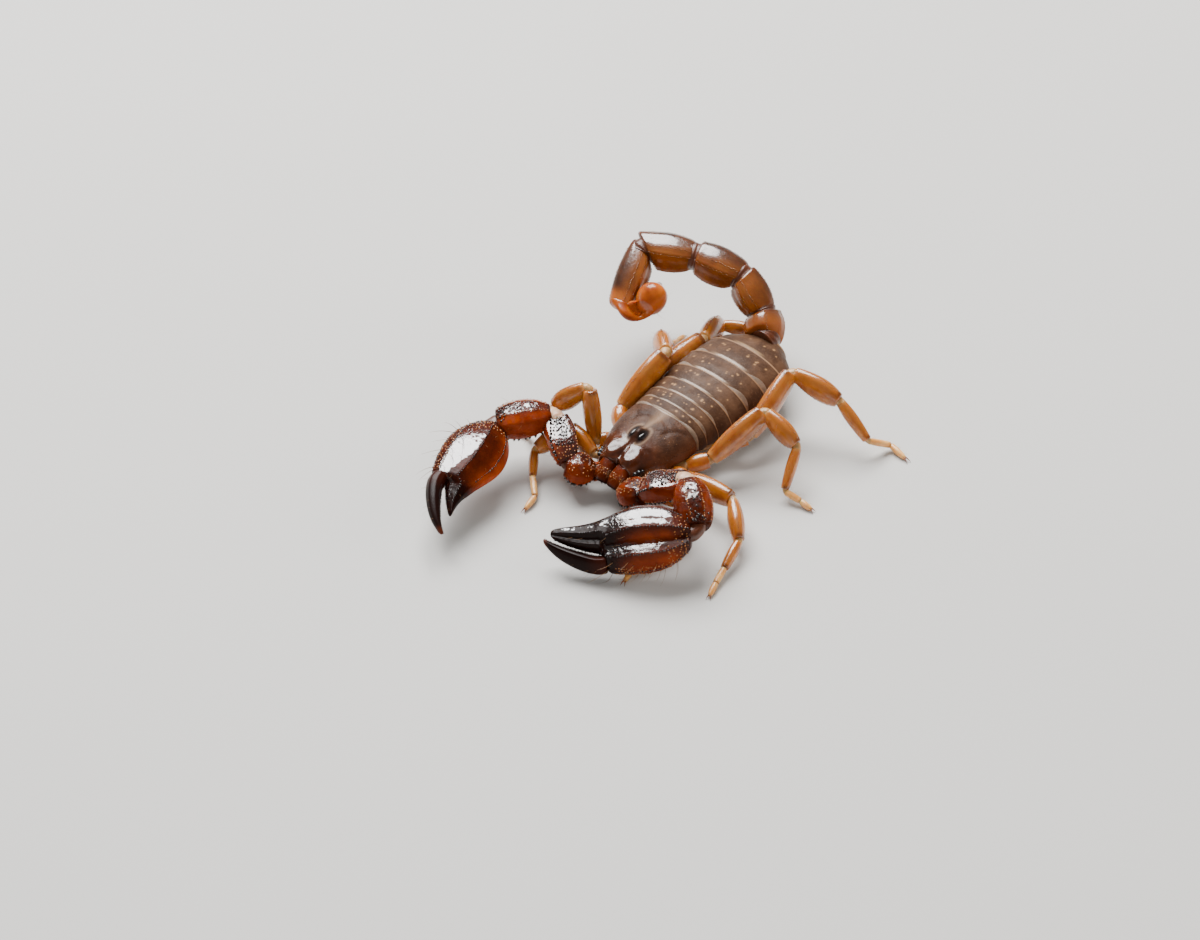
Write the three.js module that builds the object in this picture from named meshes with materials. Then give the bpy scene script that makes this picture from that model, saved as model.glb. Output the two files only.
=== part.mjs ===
// A small forest scorpion at life size, standing on a flat floor with its claws in front and its tail
// raised and curled over to its right.
//
// Millimetres, +Z up. The head points to -Y and the animal's left is +X. The floor is Z = 0 and the
// origin lies on it, under the middle of the whole model's box.
//
// Every limb and tail piece is a loft along its own axis. A limb is laid out as a chain: each piece
// has a length and a direction, and stops a little short of the joint so that two pieces that meet at
// an angle touch without overlapping.

import * as THREE from 'three';

// ---------------------------------------------------------------- driving dimensions

const CARAPACE_LENGTH = 4.8;
const CARAPACE_HALF_WIDTH = 2.75;
const BELLY_HEIGHT = 1.1; // underside of the trunk above the floor
const PLATE_HEIGHT = 2.05; // lower edge of the back plates above the floor
const BACK_RISE = 1.75; // height of the arched back above that edge

const TERGITE_LENGTHS = [0.75, 0.95, 1.15, 1.45, 1.75, 1.95, 2.3];
const TERGITE_HALF_WIDTHS = [2.8, 2.95, 3.1, 3.25, 3.3, 3.2, 2.75];
const TRUNK_END_HALF_WIDTH = 1.35;

const TAIL_LENGTHS = [1.9, 2.75, 3.2, 3.4, 4.4];
const TAIL_HALF_WIDTHS = [1.22, 1.18, 1.17, 1.14, 1.02];
const TELSON_LENGTH = 3.3;
const TELSON_HALF_WIDTH = 1.05;
const TELSON_BACK = 0.45; // how far the telson's root lies before the end of the last tail piece
const TELSON_INSET = 1.7; // how far to the inner side of the tail's curl
const TELSON_SIDE = 1.1; // and how far to the animal's upper left of that

const CLAW_LENGTH = 9.5; // from the wrist to the fingertips
const HINGE_SHARE = 0.57; // share of that length at which the moving finger is hinged
const HINGE_OFFSET = 2.1; // and its distance out from the line to the fingertips

const FOOT_HALF_THICKNESS = 0.25;
const JOINT_GAP = 0.02;

// ---------------------------------------------------------------- materials

function shell(colour, roughness) {
  return new THREE.MeshStandardMaterial({ color: colour, roughness, metalness: 0 });
}

const BACK_BROWN = shell(0x3b2c26, 0.4);
const CLAW_RED = shell(0x4a1408, 0.22);
const FINGER_BLACK = shell(0x160705, 0.2);
const TAIL_AMBER = shell(0x8a4212, 0.3);
const TELSON_ORANGE = shell(0xa84e18, 0.3);
const LEG_AMBER = shell(0xb5732a, 0.35);
const BELLY_TAN = shell(0x8c6238, 0.5);
const EYE_BLACK = shell(0x050505, 0.08);

// ---------------------------------------------------------------- shape helpers

const radians = THREE.MathUtils.degToRad;

// A smooth function of 0..1 through evenly spaced values.
function profile(...values) {
  const curve = new THREE.CatmullRomCurve3(
    values.map((value, i) => new THREE.Vector3(i / (values.length - 1), value, 0)),
  );
  return (t) => curve.getPoint(t).y;
}

// Ring places from 0 to 1, closer together near the ends where a piece rounds off.
function ringPlaces(count) {
  return Array.from({ length: count }, (_, i) => (1 - Math.cos((Math.PI * i) / (count - 1))) / 2);
}

// A point of a squared-off ellipse: 2 is a plain ellipse, and more is squarer.
function rounded(angle, squareness) {
  const power = 2 / squareness;
  const c = Math.cos(angle);
  const s = Math.sin(angle);
  return [Math.sign(c) * Math.abs(c) ** power, Math.sign(s) * Math.abs(s) ** power];
}

// A closed body along +Z with flat ends. point(t, angle) gives X, Y and any shift along Z of the
// outline at share t of the length; centre(t) gives the middle of that outline.
function loft({ length, rings, sides, point, centre = () => [0, 0] }) {
  const outline = [new THREE.Vector2(0, 0)];
  for (const t of rings) outline.push(new THREE.Vector2(1, t));
  outline.push(new THREE.Vector2(0, 1));
  const geometry = new THREE.LatheGeometry(outline, sides);
  const places = geometry.getAttribute('position');
  for (let i = 0; i < places.count; i++) {
    const t = places.getY(i);
    const reach = Math.hypot(places.getX(i), places.getZ(i));
    const angle = Math.atan2(places.getX(i), places.getZ(i));
    const [x, y, shift = 0] = point(t, angle);
    const [cx, cy] = centre(t);
    places.setXYZ(i, cx + reach * x, cy + reach * y, t * length + reach * shift);
  }
  geometry.computeVertexNormals();
  return geometry;
}

// A limb piece: half-widths across and half-heights up, as functions of the share of the length.
function limb({ length, width, height, squareness = 2.4, rings = 6, sides = 10, bend = () => 0 }) {
  return loft({
    length,
    rings: ringPlaces(rings),
    sides,
    point: (t, angle) => {
      const [c, s] = rounded(angle, squareness);
      return [c * width(t), s * height(t)];
    },
    centre: (t) => [0, bend(t)],
  });
}

// The unit direction with this heading, 0 straight out to the left and 90 straight back, and this
// lift above the floor.
function direction([heading, lift]) {
  return new THREE.Vector3(
    Math.cos(radians(heading)) * Math.cos(radians(lift)),
    Math.sin(radians(heading)) * Math.cos(radians(lift)),
    Math.sin(radians(lift)),
  );
}

// Sets a mesh whose length runs along its own +Z from start towards axis, with its +Y nearest to up.
function aim(mesh, start, axis, up = new THREE.Vector3(0, 0, 1)) {
  const z = axis.clone().normalize();
  const y = up.clone().addScaledVector(z, -up.dot(z)).normalize();
  const x = new THREE.Vector3().crossVectors(y, z);
  mesh.position.copy(start);
  mesh.quaternion.setFromRotationMatrix(new THREE.Matrix4().makeBasis(x, y, z));
  return mesh;
}

// Cuts the ends of a placed piece to the planes it shares with its neighbours. near and far point
// along the piece; the end rings move onto the planes and no other ring passes them.
function mitre(mesh, length, near, far) {
  const inward = mesh.quaternion.clone().invert();
  const [n, f] = [near, far].map((normal) => normal.clone().applyQuaternion(inward));
  const places = mesh.geometry.getAttribute('position');
  for (let i = 0; i < places.count; i++) {
    const [x, y, z] = [places.getX(i), places.getY(i), places.getZ(i)];
    const low = (JOINT_GAP - x * n.x - y * n.y) / n.z;
    const high = length - (JOINT_GAP + x * f.x + y * f.y) / f.z;
    const t = z / length;
    if (t < 0.001) places.setZ(i, low);
    else if (t > 0.999) places.setZ(i, high);
    else places.setZ(i, Math.min(Math.max(z, low + 0.05 * t), high - 0.05 * (1 - t)));
  }
  mesh.geometry.computeVertexNormals();
  return mesh;
}

function named(name, geometry, material) {
  const mesh = new THREE.Mesh(geometry, material);
  mesh.name = name;
  return mesh;
}

// How far short of a joint two pieces stop so that ends of this radius clear each other.
function setback(before, after, radius) {
  return radius * Math.tan(before.angleTo(after) / 2) + JOINT_GAP;
}

// Places a chain of pieces. Each link has a length, a direction and the radius of its far end; the
// result gives each link's own start and the length left between its joints.
function chain(start, links) {
  const joint = start.clone();
  return links.map((link, i) => {
    const before = links[i - 1];
    const after = links[i + 1];
    const near = before ? setback(before.axis, link.axis, before.end) : JOINT_GAP;
    const far = after ? setback(link.axis, after.axis, link.end) : 0;
    const from = joint.clone().addScaledVector(link.axis, near);
    joint.addScaledVector(link.axis, link.length);
    return { ...link, start: from, span: link.length - near - far };
  });
}

const animal = new THREE.Group();

// ---------------------------------------------------------------- carapace and eyes

const FRONT_NOTCH_DEPTH = 0.45;
const FRONT_NOTCH_WIDTH = 0.35;
const EYE_HILL_PLACE = 0.47; // share of the carapace length from the front
const EYE_HILL_RISE = 0.28;
const REAR_HOLLOW_DEPTH = 0.14;

const carapaceWidth = profile(0.5, 0.72, 0.88, 0.97, 1.0);
const carapaceRise = profile(0.42, 0.68, 0.85, 0.95, 0.96);
const CARAPACE_SKIRT = 0.3; // how far the side edges turn down below the plate edge

function bell(x, spread) {
  return Math.exp(-((x / spread) ** 2));
}

function carapaceTop(t, x) {
  const hill = EYE_HILL_RISE * bell(t - EYE_HILL_PLACE, 0.1) * bell(x, 0.45);
  const hollow = REAR_HOLLOW_DEPTH * bell(t - 0.88, 0.12) * bell(x, 0.5);
  return hill - hollow;
}

function carapace() {
  const geometry = loft({
    length: CARAPACE_LENGTH,
    rings: [0, 0.05, 0.13, 0.24, 0.36, 0.47, 0.58, 0.7, 0.82, 0.93, 1],
    sides: 28,
    point: (t, angle) => {
      const [c, s] = rounded(angle, 2.3);
      const x = c * CARAPACE_HALF_WIDTH * carapaceWidth(t);
      const rise = s > 0 ? s * BACK_RISE * carapaceRise(t) + s * carapaceTop(t, x) : s * CARAPACE_SKIRT;
      const notch = t < 0.2 ? FRONT_NOTCH_DEPTH * bell(x, FRONT_NOTCH_WIDTH) * (1 - t / 0.2) : 0;
      return [x, rise, notch];
    },
  });
  const mesh = named('carapace', geometry, BACK_BROWN);
  return aim(mesh, new THREE.Vector3(0, -CARAPACE_LENGTH, PLATE_HEIGHT), new THREE.Vector3(0, 1, 0));
}

function eye(name, radius, x, y, z, stretch = 1) {
  const mesh = named(name, new THREE.IcosahedronGeometry(radius, 1), EYE_BLACK);
  mesh.scale.y = stretch;
  mesh.position.set(x, y, z);
  return mesh;
}

const MEDIAN_EYE_RADIUS = 0.2;
const LATERAL_EYE_RADIUS = 0.15;

function eyes(sign, side) {
  const hillY = -CARAPACE_LENGTH * (1 - EYE_HILL_PLACE);
  const hillZ = PLATE_HEIGHT + BACK_RISE * carapaceRise(EYE_HILL_PLACE) + EYE_HILL_RISE;
  const frontY = -CARAPACE_LENGTH * 0.93;
  return [
    eye(`median_eye_${side}`, MEDIAN_EYE_RADIUS, sign * 0.3, hillY, hillZ + 0.12),
    eye(`lateral_eyes_${side}`, LATERAL_EYE_RADIUS, sign * 1.72, frontY, PLATE_HEIGHT + 0.42, 2),
  ];
}

// ---------------------------------------------------------------- trunk

// The trunk's half-width, back height and belly height along the seven back plates.
const trunkLength = TERGITE_LENGTHS.reduce((sum, length) => sum + length, 0);
const trunkRise = profile(0.97, 1.02, 1.07, 1.12, 1.12, 1.05, 0.88, 0.62);
const trunkBelly = profile(1.9, 1.78, 1.3, 1.12, 1.12, 1.15, 1.3, 1.75);
const PLATE_LIP = 0.035; // how far each plate's rear edge stands proud of the next

function trunkPlate(index) {
  const before = TERGITE_LENGTHS.slice(0, index).reduce((sum, length) => sum + length, 0);
  const length = TERGITE_LENGTHS[index] - JOINT_GAP;
  const front = index ? TERGITE_HALF_WIDTHS[index - 1] : CARAPACE_HALF_WIDTH;
  const rear = index < 6 ? TERGITE_HALF_WIDTHS[index] : TRUNK_END_HALF_WIDTH;
  const middle = index < 6 ? (front + rear) / 2 + 0.03 : TERGITE_HALF_WIDTHS[index];
  const width = profile(front - PLATE_LIP, middle, rear + PLATE_LIP);
  const geometry = loft({
    length,
    rings: index < 6 ? [0, 0.5, 1] : [0, 0.3, 0.6, 0.85, 1],
    sides: 24,
    point: (t, angle) => {
      const share = (before + t * length) / trunkLength;
      const [c, s] = rounded(angle, 2.2);
      const proud = PLATE_LIP * (2 * t - 1);
      const up = BACK_RISE * trunkRise(share) + proud;
      const down = PLATE_HEIGHT - trunkBelly(share);
      return [c * width(t), s * (s > 0 ? up : down)];
    },
  });
  const mesh = named(`trunk_${index + 1}`, geometry, BACK_BROWN);
  return aim(mesh, new THREE.Vector3(0, before + JOINT_GAP, PLATE_HEIGHT), new THREE.Vector3(0, 1, 0));
}

// The plate of leg bases under the carapace and the first trunk plates.
const HIP_PLATE_START = -4.5;
const HIP_PLATE_LENGTH = 5.7;
const HIP_PLATE_TOP = 1.72;

function hipPlate() {
  const width = profile(1.1, 1.85, 2.25, 2.45, 2.1);
  const geometry = loft({
    length: HIP_PLATE_LENGTH,
    rings: [0, 0.2, 0.4, 0.6, 0.8, 1],
    sides: 16,
    point: (t, angle) => {
      const [c, s] = rounded(angle, 3);
      return [c * width(t), s * (HIP_PLATE_TOP - BELLY_HEIGHT) * 0.5];
    },
  });
  const mesh = named('hip_plate', geometry, BELLY_TAN);
  const middle = (HIP_PLATE_TOP + BELLY_HEIGHT) / 2;
  return aim(mesh, new THREE.Vector3(0, HIP_PLATE_START, middle), new THREE.Vector3(0, 1, 0));
}

// A comb: a bar under the belly with a row of teeth along its rear edge.
const COMB_LENGTH = 2.1;
const COMB_TEETH = 7;
const COMB_BAR = 0.35;
const COMB_TOOTH = 0.3;
const COMB_THICKNESS = 0.5;

function comb(sign, side) {
  const pitch = COMB_LENGTH / COMB_TEETH;
  const shape = new THREE.Shape();
  shape.moveTo(0, 0);
  shape.lineTo(COMB_LENGTH, 0);
  for (let i = COMB_TEETH; i > 0; i--) {
    shape.lineTo(i * pitch, COMB_BAR);
    shape.lineTo((i - 0.2) * pitch, COMB_BAR + COMB_TOOTH);
    shape.lineTo((i - 0.7) * pitch, COMB_BAR + COMB_TOOTH);
    shape.lineTo((i - 0.85) * pitch, COMB_BAR);
  }
  shape.lineTo(0, COMB_BAR);
  const geometry = new THREE.ExtrudeGeometry(shape, { depth: COMB_THICKNESS, bevelEnabled: false });
  const mesh = named(`comb_${side}`, geometry, BELLY_TAN);
  mesh.position.set(0.25, 2.3, 0.55);
  mesh.rotation.z = radians(22);
  const half = new THREE.Group();
  half.scale.x = sign;
  half.add(mesh);
  return half;
}

// A jaw in front of the carapace, with two short blunt fingers at its tip.
function jaw(sign, side) {
  const length = 1.55;
  const size = profile(0.42, 0.47, 0.46, 0.34, 0.16);
  const mesh = named(
    `jaw_${side}`,
    limb({ length, width: size, height: (t) => size(t) * 0.95, squareness: 2.8, sides: 10 }),
    CLAW_RED,
  );
  return aim(mesh, new THREE.Vector3(sign * 0.52, -4.86, 2.15), new THREE.Vector3(-sign * 0.05, -1, -0.2));
}

// ---------------------------------------------------------------- tail

// Where each tail piece points, as [heading, lift]: first up and to the animal's right, then over.
const TAIL_POSE = [[138, 24], [172, 41], [201, 14], [211, 3], [285, -34]];
const TELSON_POSE = [107, 7];
const TAIL_START = new THREE.Vector3(-0.25, trunkLength + JOINT_GAP, PLATE_HEIGHT + 0.75);

function tail() {
  const axes = TAIL_POSE.map(direction);
  const joint = TAIL_START.clone();
  const curl = new THREE.Vector3(0.45, -0.5, -0.4);
  const pieces = axes.map((axis, i) => {
    const length = TAIL_LENGTHS[i];
    const swell = [profile(0.6, 0.98, 1, 1, 0.9), , , , profile(0.84, 0.98, 1, 0.97, 0.88, 0.7)][i] ?? profile(0.86, 1, 1, 1, 0.9);
    const geometry = limb({
      length,
      width: (t) => TAIL_HALF_WIDTHS[i] * swell(t),
      height: (t) => TAIL_HALF_WIDTHS[i] * 0.94 * swell(t),
      squareness: 3,
      rings: i < 4 ? 6 : 8,
      sides: 16,
    });
    const mesh = aim(named(`tail_${i + 1}`, geometry, TAIL_AMBER), joint, axis, curl);
    const near = i ? axes[i - 1].clone().add(axis) : new THREE.Vector3(0, 1, 0);
    const far = i < 4 ? axes[i + 1].clone().add(axis) : axis;
    joint.addScaledVector(axis, length);
    return mitre(mesh, length, near, far);
  });
  const axis = direction(TELSON_POSE);
  const inner = axes[3].clone().addScaledVector(axes[4], -axes[3].dot(axes[4])).normalize();
  const aside = new THREE.Vector3().crossVectors(inner, axes[4]);
  const root = joint
    .clone()
    .addScaledVector(axes[4], -TELSON_BACK)
    .addScaledVector(inner, -TELSON_INSET)
    .addScaledVector(aside, TELSON_SIDE);
  const sting = aim(telson(TELSON_LENGTH), root, axis, new THREE.Vector3(0.5, -0.55, 0.67));
  return [...pieces, sting];
}

// The bulb and sting in one: the bulb swells, then narrows to a hooked point.
function telson(length) {
  const bulb = profile(0.52, 0.88, 1, 0.94, 0.66, 0.36, 0.28, 0.2);
  const hook = profile(0, 0.04, 0.1, 0.08, -0.08, -0.3, -0.62, -1.1);
  const geometry = limb({
    length,
    width: (t) => TELSON_HALF_WIDTH * bulb(t),
    height: (t) => TELSON_HALF_WIDTH * 0.95 * bulb(t),
    squareness: 2.1,
    rings: 11,
    sides: 16,
    bend: hook,
  });
  return named('telson', geometry, TELSON_ORANGE);
}

// ---------------------------------------------------------------- claws

const ARM_LENGTHS = { coxa: 0.9, trochanter: 1.5, femur: 3.65, patella: 3.95, claw: CLAW_LENGTH };
const SHOULDER = new THREE.Vector3(0.95, -4.64, 1.4);

// Where each arm piece points, as [heading, lift], and where the outer edge of the claw faces.
const ARM_POSE = {
  left: {
    coxa: [-60, 5], trochanter: [-5, 25], femur: [25, 36], patella: [-39, -18], claw: [-144, -7],
    edge: [-48, -47],
  },
  right: {
    coxa: [-60, 5], trochanter: [-35, 12], femur: [35, 27], patella: [-48, -7], claw: [-114, -6],
    edge: [-25, 17],
  },
};

const FINGER_OPENING = { left: 0, right: 1 };

// A stretch of the claw from one share of its length to another, between an inner and an outer edge.
// The edges are distances from the line that joins the wrist to the fingertips.
function clawStretch(length, from, to, inner, outer, depth, rings) {
  return loft({
    length: length * (to - from),
    rings,
    sides: 16,
    point: (t, angle) => {
      const [c, s] = rounded(angle, 2.3);
      return [(c * (outer(t) + inner(t))) / 2, s * depth(t)];
    },
    centre: (t) => [(outer(t) - inner(t)) / 2, 0],
  });
}

// The edges of the fixed fingers: the left one curves in, the right one runs straight.
const HAND_INNER = {
  left: profile(0.75, 1.42, 1.75, 1.86, 1.82, 1.58, 1.2, 0.88, 0.72, 0.64, 0.5),
  right: profile(0.75, 1.42, 1.7, 1.75, 1.55, 1.12, 0.68, 0.42, 0.25, 0.16, 0.16),
};
const FIXED_FINGER_OUTER = {
  left: profile(1.1, 0.84, 0.52, 0.16, -0.24),
  right: profile(1.22, 1.02, 0.75, 0.42, 0.12),
};

// The palm and its fixed finger: past the hinge the outer edge steps in to leave room for the moving
// finger, and the outline runs on as a broad finger with a fine tip.
function hand(length, side) {
  const inner = HAND_INNER[side];
  const palm = profile(0.75, 1.65, 2.1, 2.3, 2.36, 2.33, 2.24);
  const fixedFinger = FIXED_FINGER_OUTER[side];
  const outer = (t) => (t < 0.58 ? palm(t / 0.6) : fixedFinger(Math.max(t - 0.6, 0) / 0.4));
  const depth = profile(0.62, 1.04, 1.22, 1.25, 1.18, 1.02, 0.82, 0.6, 0.45, 0.33, 0.2);
  const rings = [0, 0.04, 0.1, 0.19, 0.3, 0.41, 0.5, 0.572, 0.588, 0.66, 0.74, 0.83, 0.92, 1];
  return clawStretch(length, 0, 0.96, inner, outer, depth, rings);
}

// The moving finger, which carries the palm's outer edge on and hooks in at its tip.
function movingFinger(length) {
  const outer = profile(2.24, 2.34, 2.2, 1.94, 1.58, 1.08, 0.34);
  const inner = profile(-1.34, -1.2, -1.02, -0.82, -0.6, -0.34, -0.05);
  const depth = profile(0.66, 0.7, 0.62, 0.54, 0.45, 0.34, 0.2);
  const rings = [0, 0.07, 0.2, 0.36, 0.52, 0.68, 0.84, 0.94, 1];
  return clawStretch(length, HINGE_SHARE, 1.01, inner, outer, depth, rings);
}

function armPiece(name, link, width, height, material) {
  const geometry = limb({ length: link.span, width, height, squareness: 2.8, rings: 7, sides: 14 });
  return aim(named(name, geometry, material), link.start, link.axis);
}

function arm(sign, side) {
  const pose = ARM_POSE[side];
  const ends = { coxa: 0.35, trochanter: 0.5, femur: 0.55, patella: 0.7, claw: 0 };
  const links = Object.keys(ARM_LENGTHS).map((part) => ({
    length: ARM_LENGTHS[part],
    axis: direction(pose[part]),
    end: ends[part],
  }));
  const [coxa, trochanter, femur, patella, claw] = chain(SHOULDER, links);
  const half = new THREE.Group();
  half.scale.x = sign;
  const name = (part) => `arm_${side}_${part}`;

  const root = profile(0.3, 0.38, 0.42);
  half.add(armPiece(name('coxa'), coxa, (t) => root(t) * 1.3, root, CLAW_RED));

  const ball = profile(0.6, 1.05, 1.08, 0.7);
  half.add(armPiece(name('trochanter'), trochanter, ball, (t) => ball(t) * 0.95, CLAW_RED));

  const thigh = profile(0.5, 0.8, 0.92, 0.95, 0.85, 0.6);
  half.add(armPiece(name('femur'), femur, thigh, (t) => thigh(t) * 0.85, CLAW_RED));

  const knee = profile(0.5, 0.95, 1.12, 1.15, 1.0, 0.62);
  half.add(armPiece(name('patella'), patella, knee, (t) => knee(t) * 0.95, CLAW_RED));

  // In the claw's own axes +X is the outer edge and +Y is its face.
  const face = new THREE.Vector3().crossVectors(claw.axis, direction(pose.edge));
  half.add(aim(named(name('hand'), hand(claw.span, side), CLAW_RED), claw.start, claw.axis, face));

  const finger = aim(
    named(name('finger'), movingFinger(claw.span), FINGER_BLACK),
    claw.start.clone().addScaledVector(claw.axis, HINGE_SHARE * claw.span),
    claw.axis,
    face,
  );
  const hinge = new THREE.Vector3(HINGE_OFFSET, 0, 0);
  const pivot = hinge.clone().applyQuaternion(finger.quaternion);
  finger.rotateY(radians(FINGER_OPENING[side]));
  finger.position.add(pivot).sub(hinge.applyQuaternion(finger.quaternion));
  half.add(finger);
  return half;
}

// ---------------------------------------------------------------- legs

// Each pair's hip and piece lengths, front pair first.
const LEG_PAIRS = [
  { hip: [1.8, -3.4, 1.4], trochanter: 0.8, femur: 2.6, patella: 2.75, tibia: 1.75, basitarsus: 1.6, telotarsus: 1.15 },
  { hip: [2.35, -2.1, 1.42], trochanter: 1.3, femur: 3.7, patella: 2.9, tibia: 2.2, basitarsus: 1.2, telotarsus: 1.0 },
  { hip: [2.75, -1.1, 1.5], trochanter: 1.5, femur: 4.6, patella: 3.05, tibia: 2.9, basitarsus: 1.2, telotarsus: 0.9 },
  { hip: [3.05, 2.2, 1.5], trochanter: 1.6, femur: 5.0, patella: 3.6, tibia: 3.05, basitarsus: 1.8, telotarsus: 1.4 },
];

// Headings and lifts of each leg's pieces. The last three drop to the floor on their own.
const LEG_POSE = {
  left: [
    { trochanter: [-55, 5], femur: [0, 8], patella: [-58, -20], tibia: -95, basitarsus: -113, telotarsus: -75 },
    { trochanter: [0, 12], femur: [0, 6], patella: [-42, -20], tibia: -75, basitarsus: -76, telotarsus: -72 },
    { trochanter: [50, 12], femur: [72, 30], patella: [-1, -27], tibia: -72, basitarsus: 15, telotarsus: 0 },
    { trochanter: [45, 12], femur: [93, 29], patella: [13, -18], tibia: 0, basitarsus: 62, telotarsus: -9 },
  ],
  right: [
    { trochanter: [-55, 5], femur: [10, 14], patella: [-75, -13], tibia: 233, basitarsus: 223, telotarsus: -99 },
    { trochanter: [-60, 10], femur: [35, 65], patella: [-38, -41], tibia: -43, basitarsus: 8, telotarsus: -12 },
    { trochanter: [50, 12], femur: [96, 31], patella: [42, -24], tibia: 70, basitarsus: 75, telotarsus: 80 },
    { trochanter: [40, 0], femur: [96.5, 9], patella: [70, -22], tibia: 150, basitarsus: 205, telotarsus: 220 },
  ],
};

// Heights of the last joints above the floor, front pair first, and of the toe's middle line.
const SHIN_END_HEIGHTS = { left: [0.55, 0.6, 0.75, 1.2], right: [0.6, 1.25, 0.8, 0.75] };
const INSTEP_HEIGHT = 0.34;
const TOE_HEIGHT = 0.15;

// The direction with this heading that takes a piece of this length from one height to another.
function drop(heading, length, from, to) {
  return direction([heading, THREE.MathUtils.radToDeg(Math.asin((to - from) / length))]);
}

// Presses every part of a mesh that is below the floor flat onto it.
function standOnFloor(mesh) {
  mesh.updateWorldMatrix(true, false);
  const back = mesh.matrixWorld.clone().invert();
  const places = mesh.geometry.getAttribute('position');
  const point = new THREE.Vector3();
  for (let i = 0; i < places.count; i++) {
    point.fromBufferAttribute(places, i).applyMatrix4(mesh.matrixWorld);
    if (point.z > 0) continue;
    point.setZ(0).applyMatrix4(back);
    places.setXYZ(i, point.x, point.y, point.z);
  }
}

// Several lofted stretches end to end as one closed body: rings round the joints of a thin chain.
function shin(links) {
  const path = [];
  links.forEach((link, i) => {
    const sizes = link.sizes;
    sizes.forEach((size, j) => {
      const t = j / (sizes.length - 1);
      if (i && j === 0) return;
      path.push({ place: link.from.clone().addScaledVector(link.axis, t * link.length), size });
    });
  });
  return path;
}

// A closed tube with flat ends through the rings of a path, each ring square to the path there.
function tubeThrough(path, sides) {
  const outline = [new THREE.Vector2(0, 0)];
  path.forEach((_, i) => outline.push(new THREE.Vector2(1, i)));
  outline.push(new THREE.Vector2(0, path.length - 1));
  const geometry = new THREE.LatheGeometry(outline, sides);
  const places = geometry.getAttribute('position');
  const up = new THREE.Vector3(0, 0, 1);
  for (let i = 0; i < places.count; i++) {
    const ring = Math.round(places.getY(i));
    const before = path[Math.max(ring - 1, 0)].place;
    const after = path[Math.min(ring + 1, path.length - 1)].place;
    const along = after.clone().sub(before).normalize();
    const across = new THREE.Vector3().crossVectors(up, along).normalize();
    const upright = new THREE.Vector3().crossVectors(along, across);
    const size = path[ring].size;
    const point = path[ring].place
      .clone()
      .addScaledVector(across, places.getZ(i) * size)
      .addScaledVector(upright, places.getX(i) * size * (path[ring].tall ?? 1));
    places.setXYZ(i, point.x, point.y, point.z);
  }
  geometry.computeVertexNormals();
  return geometry;
}

function leg(sign, side, index) {
  const pair = LEG_PAIRS[index];
  const pose = LEG_POSE[side][index];
  const girth = 0.98 + 0.06 * index;
  const upper = ['trochanter', 'femur', 'patella'].map((part) => ({
    length: pair[part],
    axis: direction(pose[part]),
    end: 0.3 * girth,
  }));
  const kneeEnd = new THREE.Vector3(...pair.hip);
  for (const link of upper) kneeEnd.addScaledVector(link.axis, link.length);
  const shinEnd = SHIN_END_HEIGHTS[side][index];
  const tibia = drop(pose.tibia, pair.tibia, kneeEnd.z, shinEnd);
  const basitarsus = drop(pose.basitarsus, pair.basitarsus, shinEnd, INSTEP_HEIGHT);
  const telotarsus = drop(pose.telotarsus, pair.telotarsus, INSTEP_HEIGHT, TOE_HEIGHT);

  const half = new THREE.Group();
  half.scale.x = sign;
  const name = (part) => `leg_${side}_${index + 1}_${part}`;
  const lower = { length: pair.tibia, axis: tibia, end: 0.25 };
  const [trochanterLink, femurLink, patellaLink, tibiaLink] = chain(
    new THREE.Vector3(...pair.hip), [...upper, lower],
  );

  const thighPath = [
    { place: trochanterLink.start, size: 0.36 * girth },
    { place: trochanterLink.start.clone().lerp(femurLink.start, 0.5), size: 0.5 * girth },
    { place: femurLink.start.clone().addScaledVector(trochanterLink.axis, -0.05), size: 0.36 * girth },
  ];
  const thighSizes = profile(0.42, 0.52, 0.56, 0.52, 0.4);
  for (const t of [0.15, 0.35, 0.6, 0.85, 1]) {
    thighPath.push({
      place: femurLink.start.clone().addScaledVector(femurLink.axis, t * femurLink.span),
      size: thighSizes(t) * girth * (t === 1 ? 0.75 : 1),
      tall: 1.3,
    });
  }
  half.add(named(name('femur'), tubeThrough(thighPath, 10), LEG_AMBER));

  const calf = profile(0.34, 0.6, 0.75, 0.72, 0.4);
  const patella = named(
    name('patella'),
    limb({
      length: patellaLink.span,
      width: (t) => calf(t) * girth * 0.66,
      height: (t) => calf(t) * girth,
      squareness: 2.1,
    }),
    LEG_AMBER,
  );
  half.add(aim(patella, patellaLink.start, patellaLink.axis));

  const instep = tibiaLink.start.clone().addScaledVector(tibia, tibiaLink.span);
  const toeRoot = instep.clone().addScaledVector(basitarsus, pair.basitarsus);
  const foot = FOOT_HALF_THICKNESS;
  const path = shin([
    { from: tibiaLink.start, axis: tibia, length: tibiaLink.span, sizes: [0.28, 0.4, 0.37, 0.29].map((s) => s * girth) },
    { from: instep, axis: basitarsus, length: pair.basitarsus, sizes: [foot, foot * 1.04, foot] },
    { from: toeRoot, axis: telotarsus, length: pair.telotarsus, sizes: [foot, foot * 1.1, foot * 0.9] },
  ]);
  const shinMesh = named(name('tibia'), tubeThrough(path, 10), LEG_AMBER);
  half.add(shinMesh);
  animal.add(half);
  standOnFloor(shinMesh);
}

// ---------------------------------------------------------------- assembly

animal.add(carapace(), hipPlate());
TERGITE_LENGTHS.forEach((_, index) => animal.add(trunkPlate(index)));
animal.add(...tail());

for (const [sign, side] of [[1, 'left'], [-1, 'right']]) {
  animal.add(...eyes(sign, side), jaw(sign, side), comb(sign, side), arm(sign, side));
  LEG_PAIRS.forEach((_, index) => leg(sign, side, index));
}

// The origin goes under the middle of the model's box, on the floor.
animal.updateMatrixWorld(true);
const middle = new THREE.Box3().setFromObject(animal, true).getCenter(new THREE.Vector3());
animal.position.set(-middle.x, -middle.y, 0);

export default animal;
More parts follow.
